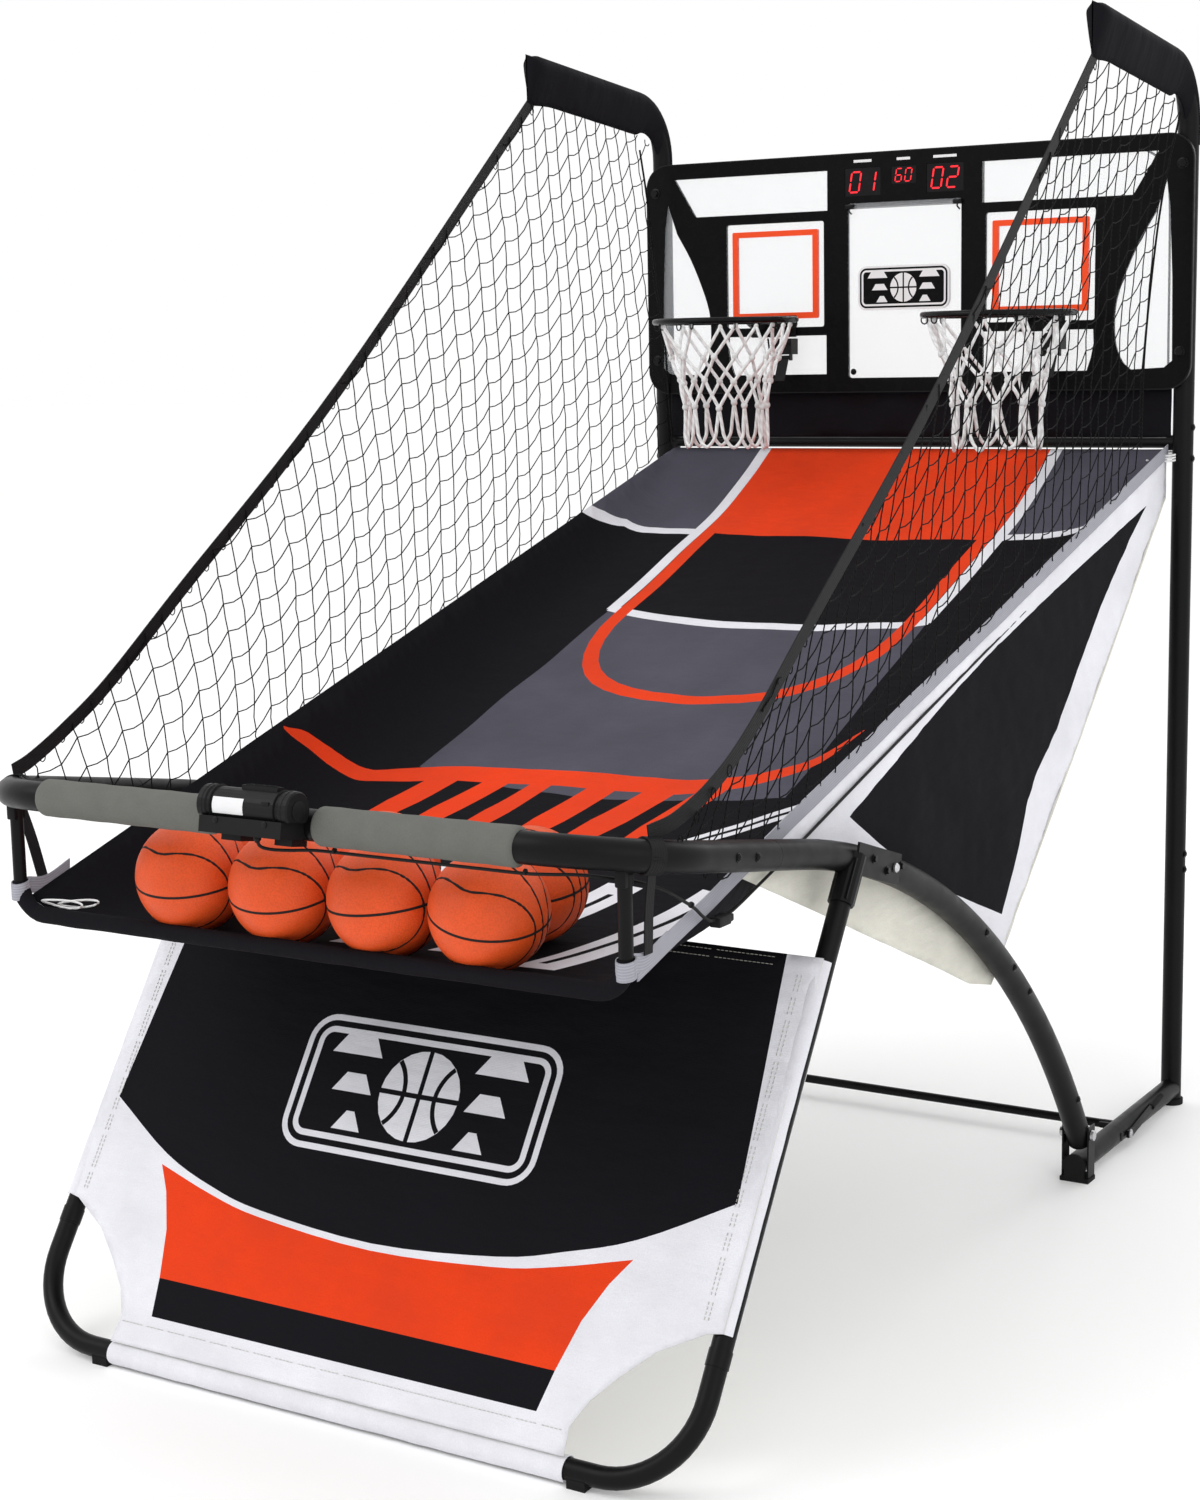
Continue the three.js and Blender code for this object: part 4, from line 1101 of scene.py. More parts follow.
def add_hoop_net(name, x):
    """White cord net: two rows of diamonds, a row of knots and long loops at the bottom."""
    net = Shape()
    draw = random.Random(7 if name == "left" else 11)

    def place(row, turn, slack, lift=0.0):
        drop, radius = NET_ROWS[row]
        a = 2 * pi * turn / NET_CORDS
        radius += slack
        return Vector((x + radius * cos(a), HOOP_Y + radius * sin(a), HOOP_Z - 10 + drop + lift))

    knots = {
        (row, k): place(row, k + (0.5 if row % 2 == 0 else 0) + draw.uniform(-0.09, 0.09),
                        draw.uniform(-3, 3), draw.uniform(-4, 4) if row else 0)
        for row in range(4)
        for k in range(NET_CORDS)
    }
    for row in range(3):
        for k in range(NET_CORDS):
            below = (k, (k + 1) % NET_CORDS) if row % 2 == 0 else ((k - 1) % NET_CORDS, k)
            for other in below:
                a, b = knots[(row, k)], knots[(row + 1, other)]
                middle = (a + b) / 2
                out = Vector((middle.x - x, middle.y - HOOP_Y, 0)).normalized()
                net.tube(smoothed([a, middle + out * draw.uniform(-2, 4), b], 5), NET_CORD_RADIUS, 10)
    for (row, _), middle in knots.items():
        axis = Vector((draw.uniform(-0.4, 0.4), draw.uniform(-0.4, 0.4), 1))
        size = 6.4 if row else 4.8
        angles = [pi * (j + 0.5) / 7 for j in range(7)]
        net.turned([(size * sin(t), -size * 1.15 * cos(t)) for t in angles], middle, axis, 12)
    for k in range(NET_CORDS):
        a, b = knots[(3, k)], knots[(3, (k + 1) % NET_CORDS)]
        turn = k + 0.5 + draw.uniform(-0.08, 0.08)
        foot = place(4, turn, draw.uniform(-3, 3), draw.uniform(-6, 8))
        left, right = (place(4, turn + side * 0.34, 1, 22) for side in (-1, 1))
        sag = Vector((0, 0, -4))
        loop = [a, (a + left) / 2 + sag, left, foot, right, (b + right) / 2 + sag, b]
        net.tube(smoothed(loop, 5), NET_CORD_RADIUS, 10)
    net.make(f"net_cords_{name}", "cord", "base", replaces=f"hoop_net_{name}")


# ---------------------------------------------------------------- ramp and tray cloth
RAMP_FLOOR = [
    (-12, 1250, 514), (-150, 1170, 492), (-311, 1099, 474), (-600, 992, 462), (-950, 868, 458),
    (-1287, 752, 456), (-1560, 680, 454), (-1740, 659, 450), (-1895, 659, 445), (-1937, 664, 440),
]  # fmt: skip
EDGE_REAR, EDGE_FRONT = (522, -12, 1251), (500, -1937, 692)
FLOOR_LINE = np.array([tuple(p) for p in smoothed(RAMP_FLOOR, 6)][::-1])


def edge_at(y):
    """Half width and height of the ramp's side edge."""
    part = (y - EDGE_REAR[1]) / (EDGE_FRONT[1] - EDGE_REAR[1])
    return tuple(EDGE_REAR[k] + (EDGE_FRONT[k] - EDGE_REAR[k]) * part for k in (0, 2))


def ramp_place(x, y):
    """The court: a flat floor whose sides curve up to the edges, with soft waves."""
    floor, half = (float(np.interp(y, FLOOR_LINE[:, 0], FLOOR_LINE[:, k])) for k in (1, 2))
    edge_x, edge_z = edge_at(y)
    start, bend = half - 50, half + 6
    z = floor
    if abs(x) > start:
        a, b = start - 2 * bend + edge_x, 2 * (bend - start)
        reach = min(abs(x), edge_x) - start
        t = reach / b if abs(a) < 0.5 else (-b + math.sqrt(max(b * b + 4 * a * reach, 0))) / (2 * a)
        z = floor + t * t * (edge_z - floor)
    tray = min(1, max(0, (y + 1650) / 150))
    free = min(1, (edge_x - abs(x)) / 60) * min(1, max(0, (EDGE_REAR[1] - y) / 60)) * tray
    z += free * (ripple(x, y, 150, 3.5) + ripple(x, y * 0.4, 60, 1.6, 3) - 3 * cos(x / edge_x * 1.5))
    return (x, y, z)


def bowed(x_from, x_to, y_side, y_middle):
    """A shallow curve across the court between two places, lowest or highest in the middle."""
    points, steps = [], 10
    for k in range(steps + 1):
        x = x_from + (x_to - x_from) * k / steps
        share = 1 - (2 * k / steps - 1) ** 2
        points.append((x, y_side + (y_middle - y_side) * share))
    return points


def loop_line(half, top, depth):
    """The foul-line loop: straight sides that close in a broad curve towards the player."""
    curve, steps = [], 20
    for k in range(steps + 1):
        a = pi * k / steps
        c, s = cos(a), sin(a)
        curve.append((half * math.copysign(abs(c) ** 0.82, c), top - depth * s**0.82))
    return curve


def court_prints():
    """Court print in X and Y. The looks are black, grey, orange and white."""
    grey, orange, white = 1, 2, 3
    right = [(321, -286), (375, -277), (430, -262), (480, -246), (540, -215)]
    right_low = [(540, -240), (484, -269), (432, -285), (378, -300), (321, -309)]
    left = [(-321, -288), (-400, -286), (-475, -290), (-505, -325), (-540, -395)]
    left_low = [(-321, -311), (-400, -309), (-468, -313), (-492, -345), (-540, -425)]
    top, bottom = bowed(-313, 313, -618, -662), bowed(338, -338, -1200, -1246)
    marks = [
        ([(321, -10), (540, -10)] + right[::-1], grey),
        (right + right_low, white),
        ([(-321, -10)] + left + [(-540, -10)], grey),
        (left[:1] + left_low + left[:0:-1], white),
        (top + [(326, -900)] + bottom + [(-326, -900)], grey),
        (bowed(-318, 318, -606, -650) + bowed(318, -318, -630, -674), white),
    ]
    for side in (-1, 1):
        lane = [(297, -10), (321, -10), (322, -625), (299, -612)]
        marks.append(([(side * x, y) for x, y in lane], white))
    marks.append(([(-297, -10)] + bowed(-297, 297, -303, -310) + [(297, -10)], orange))
    outer = [(297, -303)] + loop_line(297, -625, 315) + [(-297, -303)]
    inner = [(-270, -303)] + loop_line(270, -625, 287)[::-1] + [(270, -303)]
    marks.append((outer + inner, orange))
    return marks + streak_prints(orange, white)


def streak_prints(orange, white):
    """A thick brush stroke across the lower court, with broad slanted strokes hanging from it."""
    bends = [(-503, -1345), (-478, -1290), (-420, -1248), (-250, -1212), (0, -1196), (190, -1186),
             (320, -1105), (368, -985)]
    spine = smoothed([(x, y, 0) for x, y in bends], 5)
    last = len(spine) - 1
    upper, lower = [], []
    for i, spot in enumerate(spine):
        ahead = (spine[min(i + 1, last)] - spine[max(i - 1, 0)]).normalized()
        half = 23 * min(1, 0.04 + 2.6 * i / last, 0.04 + 3.2 * (last - i) / last)
        upper.append((spot.x - ahead.y * half, spot.y + ahead.x * half))
        lower.append((spot.x + ahead.y * half, spot.y - ahead.x * half))
    marks = [(upper + lower[::-1], orange)]
    for k in range(6):
        x, wide = -348 + 96 * k, 50 + 9 * cos(1.7 * k)
        lean, low = 62 + 6 * sin(2.1 * k), -1425 - 20 * (k % 2)
        middle = (low - 1200) / 2
        stroke = [(x, low), (x + wide * 0.8, low + 14), (x + wide + lean * 0.45, middle),
                  (x + wide + lean, -1192), (x + lean, -1206), (x + lean * 0.4, middle)]
        marks.append((stroke, orange))
    for x in (232, 258):
        marks.append(([(x, -1356), (x + 140, -1214), (x + 148, -1222), (x + 10, -1362)], white))
    for k in range(5):
        x, lean, low = -330 + 150 * k, 78, -1850 + 22 * (k % 2)
        block = [(x, low), (x + 62, low + 6), (x + 66 + lean, -1500), (x + lean + 6, -1486 - 10 * (k % 2))]
        slit = [(x + 22, low + 30), (x + 34, low + 32), (x + 36 + lean, -1530), (x + 26 + lean, -1530)]
        marks += [(block, white), (slit, 0)]
    return marks


def add_ramp():
    rear, front = EDGE_REAR[1], EDGE_FRONT[1]
    ends = ((-1, rear), (-1, front), (1, front), (1, rear))
    outline = [(side * edge_at(y)[0], y) for side, y in ends]
    court = printed_sheet(Shape(), outline, court_prints(), ramp_place, 14, 1.4, back=0)
    looks = ["black", "grey", "orange", "white"]
    ramp = across_fold(court.make("court_cloth", looks, None, 180, replaces="ramp"))

    for name, sign in SIDES:
        below = 4 if sign > 0 else 15
        path = []
        for y in (rear - (1920 + rear) * k / 60 for k in range(61)):
            edge_x, edge_z = edge_at(y)
            path.append((sign * (edge_x + 2.5), y, edge_z - below + ripple(y, 0, 120, 2, sign)))
        edging = Shape().band(path, (0, 0, 1), 25, 1.8)
        across_fold(edging.make(f"court_edging_{name}", "silver"))
    sleeve, extras = tray_sleeve(), tray_details()


def tray_sleeve():
    """Black cloth turned round the tray's front bar and sewn down."""
    dense = closely_spaced(filleted(tray_corners(716), 44, 8), 16)
    last, columns, reach = len(dense) - 1, 16, 38
    outer, inner = [], []
    for j, spot in enumerate(dense):
        start = min(j, last - 1)
        out = Vector((0, -1, 0))
        up = (dense[start + 1] - dense[start]).normalized().cross(out).normalized()
        for k in range(columns + 1):
            u = 2 * reach * k / columns - reach
            angle = u / 12
            radius = 11.6 + ripple(j * 5, u * 2, 16, 1.2) + 0.15 * angle**2
            arm = (out * cos(angle) + up * sin(angle)) * radius
            outer.append(spot + arm)
            inner.append(spot + arm * 0.92)
    heights = [j * 0.016 for j in range(last + 1)]
    sleeve = Shape().layers(outer, inner, columns + 1, 0.005, heights)
    return sleeve.make("tray_sleeve", "black", "front_frame", 70)


def tray_details():
    """Silver loops, elastic loops and lacing at the tray's and the court's corners."""
    made = []
    for name, sign in SIDES:
        x = sign * TRAY_HALF_WIDTH
        loops = Shape()
        loops.band(ring_of((x, TRAY_Y, 704), (12.6, 0, 0), (0, 12.6, 3), 24), (0, 0, 1), 24, 2, closed=True)
        tail = [(x - sign * 2, -1938, 708), (x - sign, -1900, 703), (x, -1850, 718)]
        loops.band(smoothed(tail), (0, 0.1, 1), 24, 2)
        made.append(loops.make(f"tray_loops_{name}", "silver", "front_frame"))
    elastic = Shape()
    for k in range(2):
        middle = Vector((-440 + 22 * k, -1936 + 10 * k, 686))
        loop = [(38 * cos(t), 4 * sin(2 * t), 5 * sin(t) + 5 * k * cos(t)) for t in turns(24)]
        elastic.tube([middle + Vector(p) for p in loop], 1.6, 8, closed=True)
    made.append(elastic.make("elastic_loops", "cord", "front_frame"))
    lacing = Shape()
    for k in range(3):
        lacing.tube(ring_of((526, -10, 1232 + 5 * k), (16, 0, 0), (0, 16, 3), 20), 2, 8, closed=True)
    lacing.tube(smoothed([(512, -26, 1236), (505, -40, 1228), (498, -52, 1232)], 4), 2, 8)
    made.append(lacing.make("corner_lacing", "cord", "base"))
    return made


def add_side_panels():
    top = [(y, edge_at(y)[1] - 10) for y in (-14, -1640)]
    outline = [top[0], (-16, 1160), (-788, 478), (-845, 428), (-932, 450), (-1664, 764), top[1]]
    bends = [(-800, 535), (-755, 600), (-690, 705), (-560, 805), (-430, 925), (-290, 1040), (-122, 1153)]
    black = [(-122, 1153), (-560, 1040), (-800, 974), (-1000, 912), (-1180, 845), (-1340, 788), (-1200, 705),
             (-1000, 610)] + smooth_line(bends, 4)[:-1]
    # Cream strip on the outer face below the arc leg: an unprinted band, painted darker than the white print
    # as painted shade under the leg
    arc_line = [(y, arc_height(y) - 6) for y in range(-800, -1660, -60)]
    under = arc_line + [(-1700, 700), (-900, 380), (-760, 430)]
    hem = [(-22, 1152), (-400, 817), (-784, 480)]
    for name, sign in SIDES:

        def hung(y, z):
            edge_x, edge_z = edge_at(y)
            low = min(1, max(0, (edge_z - z) / 400))
            near_arc = 1 - min(1, abs(z - arc_height(max(y, -337))) / 120) if y < -700 else 0
            wave = ripple(y, z, 170, 7, 2 + sign) * low * (1 - near_arc) + ripple(y * 2, z, 55, 1.6, 5)
            return (sign * (edge_x + 1 + (525.5 - edge_x) * low) + min(wave, 1.5), y, z)

        def facing_out(points):
            return [(sign * y, z) for y, z in points]

        shown = [(facing_out(black), 1), (facing_out(under), 2)]
        panel = printed_sheet(Shape(), facing_out(outline), shown, lambda u, z: hung(sign * u, z), 16, back=2)
        looks = ["white", "black", "cream"]
        piece = across_fold(panel.make(f"side_cloth_{name}", looks, None, 180, replaces=f"side_panel_{name}"))
        seam = Shape().band(smoothed([hung(y, z + 9) for y, z in hem], 8), (0, 0.66, -0.75), 3, 2.2)
        stitch = across_fold(seam.make(f"side_hem_{name}", "cream"))


def add_rear_skirt():
    low, high = 1272, 1361

    def hung(x, z):
        loose = sin(pi * (z - low) / (high - low))
        return (x, -9 + loose * (5 * sin(x / 31 + 2 * sin(x / 140)) + ripple(x, z, 60, 3, 8)), z)

    skirt = printed_sheet(Shape(), rectangle(-529, low, 529, high), [], hung, 12)
    piece = skirt.make("rear_skirt_cloth", "black", "base", 180, replaces="rear_skirt")


# ---------------------------------------------------------------- banner
BANNER_FACE = -LEG_RADIUS - 3


def banner_place(x, z):
    """The banner in the legs' plane, bowed a little towards the player between the legs."""
    across_share = 1 - (x / 566) ** 2
    down = min(1, max(0, (z + 120) / -60)) * min(1, max(0, (z + 830) / 200))
    bow = 2.4 * across_share + ripple(x, z, 190, 3, 1) * across_share * down
    bow += 1.6 * sin((x - z * 0.4) / 38) * max(0, (abs(x) - 380) / 190) ** 2 * down
    return (x, BANNER_FACE - bow, z)


def add_banner():
    black, orange = 1, 2
    right = [(566, -122), (566, -642), (545, -646), (480, -683), (437, -725), (405, -762), (386, -800),
             (390, -838)]
    outline = [(-x, z) for x, z in right] + right[::-1]
    field = [(-537, -483), (-408, -555), (-306, -590), (-204, -610), (0, -623), (204, -605), (306, -580),
             (408, -545), (537, -473)]
    crown = [(-410, -572), (-300, -602), (-200, -620), (0, -633), (200, -620), (300, -602), (410, -572)]
    sweep = [(385, -610), (360, -665), (342, -735)]
    marks = [
        ([(-510, -110)] + smooth_line(field, 4) + [(510, -110)], black),
        (smooth_line(crown, 4) + sweep + [(-x, z) for x, z in sweep[::-1]], orange),
        ([(-342, -735), (342, -735), (332, -791), (-332, -791)], black),
    ]
    marks += emblem(0, -405, 222, 103, black, 0)
    sheet = printed_sheet(Shape(LEG_PLANE), outline, marks, banner_place, 15, 1.4, back=3)
    looks = ["white", "black", "orange", "cream"]
    banner = sheet.make("banner_cloth", looks, "front_legs", 180, "printed_fabric", "banner")
    trims = banner_trims()


def wrap_of(name, path, radius, start, end, wrinkle):
    """White cloth turned round a straight bar of the legs, between two angles measured from the front."""
    thickness, columns, step = 1.2, 18, 14
    dense = closely_spaced([Vector(p) for p in path], step)
    out = Vector((0, -1, 0))
    up = (dense[1] - dense[0]).normalized().cross(out).normalized()
    outer, inner = [], []
    for j, spot in enumerate(dense):
        for k in range(columns + 1):
            angle = radians(start + (end - start) * k / columns)
            arm = out * cos(angle) + up * sin(angle)
            size = radius + ripple(j * step, angle * radius * 2, 34, wrinkle, radius)
            outer.append(spot + arm * size)
            inner.append(spot + arm * (size - thickness))
    heights = [j * step / 1000 for j in range(len(dense))]
    wrap = Shape(LEG_PLANE).layers(outer, inner, columns + 1, radius * 0.0003, heights)
    return wrap.make(name, "white", "front_legs", 70)


def stitch_line(shape, places):
    """A row of stitches along a list of places."""
    length, pitch, travelled = 4.2, 6.6, 0.0
    for a, b in zip(places, places[1:]):
        reach = (b - a).length
        direction = (b - a) / reach if reach else Vector()
        start = (-travelled) % pitch
        while start + length < reach:
            shape.tube([a + direction * start, a + direction * (start + length)], 0.45, 5)
            start += pitch
        travelled += reach


def banner_trims():
    made = []
    for name, sign in SIDES:
        path = [(sign * LEG_HALF_WIDTH, 0, -124), (sign * LEG_HALF_WIDTH, 0, -642)]
        start, end = (-60, 215) if sign > 0 else (-215, 60)
        made.append(wrap_of(f"banner_sleeve_{name}", path, 17.8, start, end, 1.0))
    path = [(-391, 0, -LEG_LENGTH), (391, 0, -LEG_LENGTH)]
    made.append(wrap_of("banner_bottom_wrap", path, 18, -205, 100, 1.2))

    def raised(x, z, lift=0.8):
        return Vector(banner_place(x, z)) + Vector((0, -lift, 0))

    threads = Shape(LEG_PLANE)
    for z in (-129, -140):
        stitch_line(threads, [raised(50 * k - 500, z, 1) for k in range(21)])
    for sign in (-1, 1):
        for x in (535, 541):
            stitch_line(threads, [raised(sign * x, -150 - 30 * k) for k in range(17)])
    stitch_line(threads, [raised(40 * k - 380, -806) for k in range(20)])
    made.append(threads.make("banner_stitching", "cream", "front_legs"))
    return made


# ---------------------------------------------------------------- side nets, pockets and straps
NET_PITCH = 42
SIDE_CORD_RADIUS = 1.05
STRAP_WIDTH, STRAP_THICKNESS = 22, 1.8
STRAP_LINE = [(-476, 1915), (-1098, 1400), (-1527, 1092), (-1700, 968), (-1900, 862)]
POCKET_LINE = [(-476, 1915), (-364, 1905), (-248, 1894), (-139, 1881), (-82, 1868), (-49, 1850)]
REAR_LINES = {
    1: [(-50, 1850), (-99, 1712), (-126, 1572), (-152, 1414), (-164, 1259)],
    -1: [(-95, 1846), (-82, 1748), (-66, 1631), (-46, 1490), (-30, 1348), (-14, 1262)],
}


def height_on(line, y):
    """Height of a line of (y, z) points at a place along the machine."""
    ordered = sorted(line)
    return float(np.interp(y, [p[0] for p in ordered], [p[1] for p in ordered]))


def net_top(y):
    """Height of the side net's upper edge: the strap in front, the pocket behind."""
    return height_on(STRAP_LINE, y) if y < -476 else height_on(POCKET_LINE, y)


def net_place(sign, y, z):
    """A point of the side net, bowed a little inwards between its strap and the court's edge."""
    edge_x, edge_z = edge_at(y)
    share = min(1, max(0, (z - edge_z) / max(net_top(y) - edge_z, 1)))
    bow = 9 * sin(pi * share)
    x = edge_x + 4 + (HALF_WIDTH - edge_x - 4) * share - bow + ripple(y, z, 130, 4, sign)
    return Vector((sign * x, y, z))


def add_side_net(name, sign):
    """Knotted net: near-upright cords, and cross cords that climb to the rear in flat and steep steps."""
    rear = REAR_LINES[sign]
    foot = 3 if sign > 0 else -8
    domain = np.array(
        rear + [(y, edge_at(y)[1] + foot) for y in (-200, -900, -1700)] + [(-1830, 800), (-1890, 860)]
        + [(y, z + 7) for y, z in STRAP_LINE[::-1][1:] + POCKET_LINE[1:]]
    )
    net = Shape()
    draw = random.Random(21 + sign)

    def spot(column, row):
        """Place of a knot in the net, before it is cut to shape."""
        z = 2330 + 43 * row - 20.8 * column - (13 if column % 2 else 0)
        fan = max(0, 1 - max(column, 0) / 12)
        y = -20 - NET_PITCH * column + (0.14 * fan if sign < 0 else -0.16 * fan - 0.03) * (1500 - z)
        return (y, z)

    def clipped(a, b):
        """The part of a cord that lies inside the net's outline."""
        steps = [(a[0] + (b[0] - a[0]) * t / 8, a[1] + (b[1] - a[1]) * t / 8) for t in range(9)]
        flags = inside(domain, np.array(steps))
        kept = [p for p, flag in zip(steps, flags) if flag]
        return (kept[0], kept[-1]) if len(kept) > 1 else None

    for column in range(-3, 48):
        for row in range(-42, 24):
            here = spot(column, row)
            for other, sag in ((spot(column, row + 1), 0), (spot(column + 1, row), 2.5)):
                part = clipped(here, other)
                if not part:
                    continue
                a, b = (net_place(sign, *end) for end in part)
                middle = (a + b) / 2 + Vector((draw.uniform(-1.5, 1.5), draw.uniform(-2, 2), -sag))
                net.tube([a, middle, b], SIDE_CORD_RADIUS, 5, caps=False)
    net.tube(smoothed([net_place(sign, y, z) for y, z in rear]), 2, 10)
    for k in range(34):
        y = -486 - (1890 - 486) * k / 33
        centre = (sign * HALF_WIDTH, y, height_on(STRAP_LINE, y) - 12)
        net.tube(ring_of(centre, (0, 6, 0), (0, 0, 8), 8), 0.9, 5, closed=True)
    return across_fold(net.make(f"side_net_cords_{name}", "net", None, 180, replaces=f"side_net_{name}"))


def add_strap(name, sign):
    line = [(sign * HALF_WIDTH, y, z) for y, z in [(-486, 1911)] + STRAP_LINE[1:4]]
    line += [(sign * 547, -1800, 912), (sign * 538, -1880, 880), (sign * 527, -1930, 870)]
    path = smoothed(line, 8)
    last = len(path) - 1
    ahead = [(path[min(i + 1, last)] - path[max(i - 1, 0)]).normalized() for i in range(last + 1)]
    strap = Shape().band(path, [a.cross(Vector((sign, 0, 0))) for a in ahead], STRAP_WIDTH,
                         STRAP_THICKNESS)
    upper = across_fold(strap.make(f"net_strap_{name}", "strap"))

    spot = RAIL_PLANE @ Vector((sign * 526, -271, 0))
    axis = (RAIL_PLANE.to_3x3() @ Vector((sign * 0.49, 0.87, 0))).normalized()
    out = axis.cross(Vector((0, 0, 1))).normalized()
    reach = RAIL_RADIUS + 2.2
    loop = ring_of(spot, out * reach, out.cross(axis) * reach, 28)
    tail = Shape().band(loop, axis, STRAP_WIDTH, STRAP_THICKNESS, closed=True)
    hanging = [spot + Vector((0, 4, -23)), (sign * 516, -1912, 770), (sign * 508, -1902, 712)]
    tail.band(smoothed(hanging), (0, 1, 0), 20, STRAP_THICKNESS)
    return [upper, tail.make(f"net_strap_tail_{name}", "strap", "front_frame")]


def add_pocket(name, sign):
    """Black cloth pocket over the net arm, closed at the tip and tapering down the upright."""
    x = sign * HALF_WIDTH
    arm = [Vector(p) for p in arm_path(x, 12)[:0:-1]]
    dense = closely_spaced([Vector((x, -500, 1984))] + arm + [Vector((x, 0, 1796))], 13)
    lengths = [0.0]
    for a, b in zip(dense, dense[1:]):
        lengths.append(lengths[-1] + (b - a).length)
    last, columns, top = len(dense) - 1, 26, 0.45
    radius = UPRIGHT_RADIUS + 1.6
    layers = ([], [])
    for j, spot in enumerate(dense):
        ahead = (dense[min(j + 1, last)] - dense[max(j - 1, 0)]).normalized()
        inward = Vector((0, -ahead.z, ahead.y)).normalized()
        if inward.z > 0 or (abs(inward.z) < 0.2 and inward.y > 0):
            inward = -inward
        pinch = min(1, lengths[j] / 26)
        size = 2.2 + (radius - 2.2) * sin(pinch * pi / 2)
        taper = min(1, (lengths[-1] - lengths[j]) / 190)
        drop = 60 * taper + 4 + 8 * max(0, 1 - lengths[j] / 90)
        head = radius if pinch >= 1 else 16 - 6 * (1 - pinch)
        front = max(0, 1 - lengths[j] / 60)
        for depth, layer in zip((0, 1.1), layers):
            for k in range(columns + 1):
                share = k / columns * 2 - 1
                side = math.copysign(1, share)
                share = abs(share)
                if share < top:
                    angle = share / top * pi / 2
                    place = spot + Vector((side * (size - depth) * sin(angle), 0, 0))
                    place -= inward * (head - depth) * cos(angle)
                    place -= ahead * 7 * front**2 * (1 - share / top)
                else:
                    down = (share - top) / (1 - top)
                    wide = (size - depth) * (1 - down) ** 0.8 + (1.5 - depth) * down**0.6
                    wave = ripple(lengths[j], down * 60, 30, 1.3, sign) * down * taper
                    place = spot + Vector((side * max(wide, 0.35) + wave, 0, 0)) + inward * drop * down
                    place += ahead * 24 * front * down
                layer.append(place)
    pocket = Shape().layers(*layers, columns + 1, 0.0075, [length / 1000 for length in lengths])
    return pocket.make(f"arm_pocket_{name}", "black", "base", 75)


def add_nets():
    for name, sign in SIDES:
        net, straps, pocket = add_side_net(name, sign), add_strap(name, sign), add_pocket(name, sign)


# ---------------------------------------------------------------- balls
BALL_ROWS = ((-1895, (-228, -62, 105, 268)), (-1738, (-272, -16, 228)))


def bent_seam(turn):
    """How far out the bent seams run at an angle round the ball, as a share of its radius."""
    return 0.46 - 0.26 * cos(2 * turn)


def seam_lines():
    """The four seams of a basketball on a unit sphere: two rings and two bent loops."""
    steps, middle = 96, (0, 0, 0)
    lines = [ring_of(middle, (0, 1, 0), (0, 0, 1), steps), ring_of(middle, (1, 0, 0), (0, 1, 0), steps)]
    for side in (-1, 1):
        loop = []
        for t in turns(steps):
            x = bent_seam(t)
            r = math.sqrt(1 - x * x)
            loop.append(Vector((side * x, r * cos(t), r * sin(t))))
        lines.append(loop)
    return lines


def seam_depth(direction):
    """How near a direction is to a seam, from 0 to 1."""
    bent = abs(abs(direction.x) - bent_seam(math.atan2(direction.z, direction.y)))
    gap = min(abs(direction.x), abs(direction.z), bent)
    return max(0.0, 1 - gap * BALL_RADIUS / 3.6)


def add_balls():
    template = bmesh.new()
    bmesh.ops.create_icosphere(template, subdivisions=5, radius=1)
    template.verts.index_update()
    directions = [v.co.normalized() for v in template.verts]
    faces = [[v.index for v in f.verts] for f in template.faces]
    template.free()
    surface = [d * (BALL_RADIUS - 1.3 * seam_depth(d) ** 1.5) for d in directions]
    seams = [[p * (BALL_RADIUS - 1.9) for p in line] for line in seam_lines()]
    valve = (BALL_RADIUS * 0.3, -BALL_RADIUS * 0.933, 12)
    draw = random.Random(5)
    for number, (x, y) in enumerate(((x, y) for y, xs in BALL_ROWS for x in xs), 1):
        tilt = Matrix.Identity(4)
        for low, high, axis in ((6, 18, Vector((0.85, 0.52, 0))), (-102, -86, "Z"), (-6, 8, "X")):
            tilt @= Matrix.Rotation(radians(draw.uniform(low, high)), 4, axis)
        ball = Shape(Matrix.Translation((x, y, 740)) @ tilt)
        ball.add(surface, faces)
        for seam in seams:
            ball.tube(seam, 2.2, 8, 1, closed=True)
        ball.turned([(2.4, -0.2), (2.4, 0.25), (1.2, 0.3)], valve, (0.3, -0.93, 0.15), 16, 1)
        body = body_with(f"ball_{number}")
        ball.make(f"basketball_{number}", ["ball", "seam"], body, 60, replaces=f"ball_{number}")


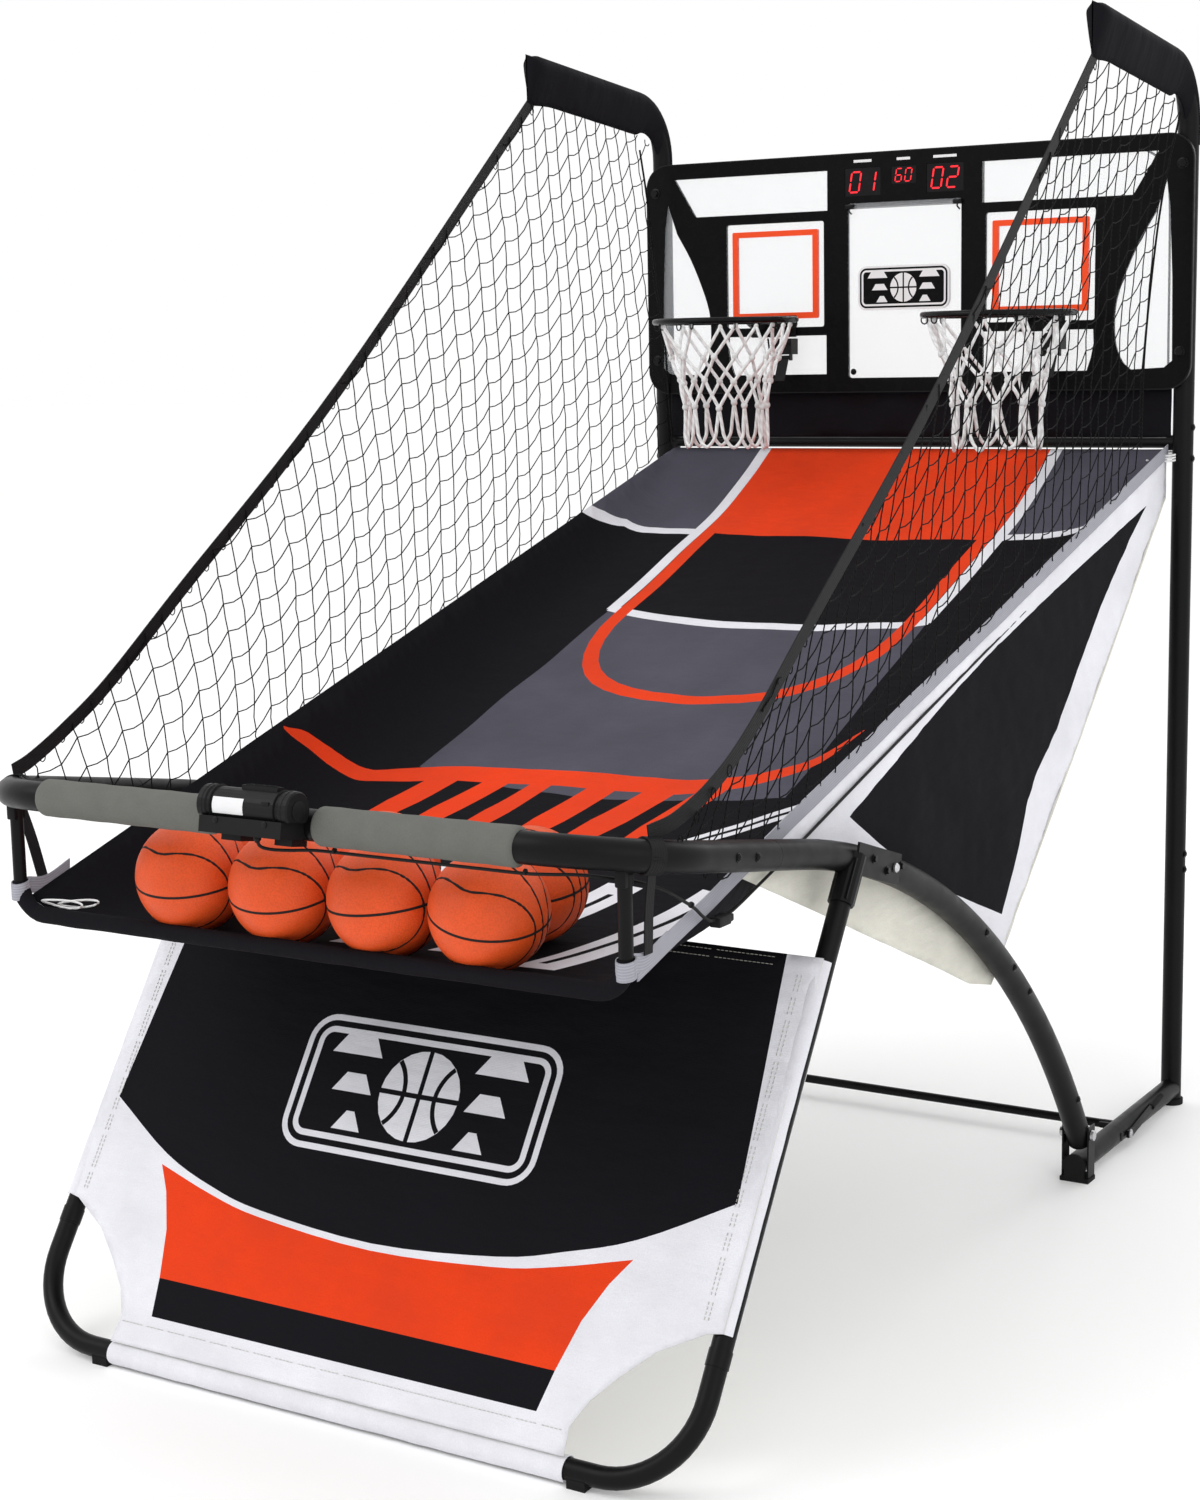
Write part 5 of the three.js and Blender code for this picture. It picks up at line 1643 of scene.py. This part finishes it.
# ---------------------------------------------------------------- camera, light and floor
def add_camera():
    yaw, pitch, roll = (radians(a) for a in (31.59, 9.21, -1.12))
    ahead = Vector((-sin(yaw) * cos(pitch), cos(yaw) * cos(pitch), -sin(pitch)))
    level = Vector((cos(yaw), sin(yaw), 0))
    up = level.cross(ahead)
    right = level * cos(roll) + up * sin(roll)
    upward = up * cos(roll) - level * sin(roll)
    camera = bpy.data.objects.new("camera", bpy.data.cameras.new("camera"))
    camera.data.lens = 58.68
    camera.data.sensor_width = 36
    turn = Matrix((right, upward, -ahead)).transposed().to_4x4()
    camera.matrix_world = Matrix.Translation(at((2001, -4434, 1445))) @ turn
    bpy.context.scene.collection.objects.link(camera)
    bpy.context.scene.camera = camera


def add_light(name, place, target, size, power):
    lamp = bpy.data.lights.new(name, "AREA")
    lamp.shape = "RECTANGLE"
    lamp.size, lamp.size_y = size
    lamp.energy = power
    holder = bpy.data.objects.new(name, lamp)
    holder.location = at(place)
    holder.rotation_euler = (at(target) - at(place)).to_track_quat("-Z", "Y").to_euler()
    bpy.context.scene.collection.objects.link(holder)


def add_studio():
    world = bpy.data.worlds.new("studio")
    bpy.context.scene.world = world
    world.use_nodes = True
    background = world.node_tree.nodes["Background"]
    background.inputs["Color"].default_value = (1, 1, 1, 1)
    background.inputs["Strength"].default_value = 1.0
    middle = (0, -900, 900)
    add_light("key", (-2600, -4200, 4200), middle, (3.0, 3.0), 75)
    add_light("fill", (4200, -3200, 2600), middle, (3.0, 3.0), 22)
    add_light("rear", (600, 3400, 3600), middle, (3.5, 2.0), 45)
    reach = 60000
    corners = [(x, y, 0) for x, y in rectangle(-reach, -reach, reach, reach)]
    floor = Shape().add(corners, [(0, 1, 2, 3)])
    look = Look("studio_floor", Roughness=0.9, Emission_Color=(1, 1, 1, 1), Emission_Strength=0.1)
    look.drive("Base Color", look.mix(look.grain(3, 2), neutral(0.9), neutral(0.93)))
    LOOKS["floor"] = look.material
    floor.make("studio_floor", "floor")
    bpy.context.scene.view_settings.view_transform = "Standard"


add_camera()
add_studio()
dress_cad_nodes()
add_rear_frame()
add_lock_details()
add_front_frame()
add_front_legs()
add_foam_pads()
add_control_unit()
add_cable()
add_backboard()
for side_name, side_sign in SIDES:
    add_hoop(side_name, side_sign)
add_ramp()
add_side_panels()
add_rear_skirt()
add_banner()
add_nets()
add_balls()
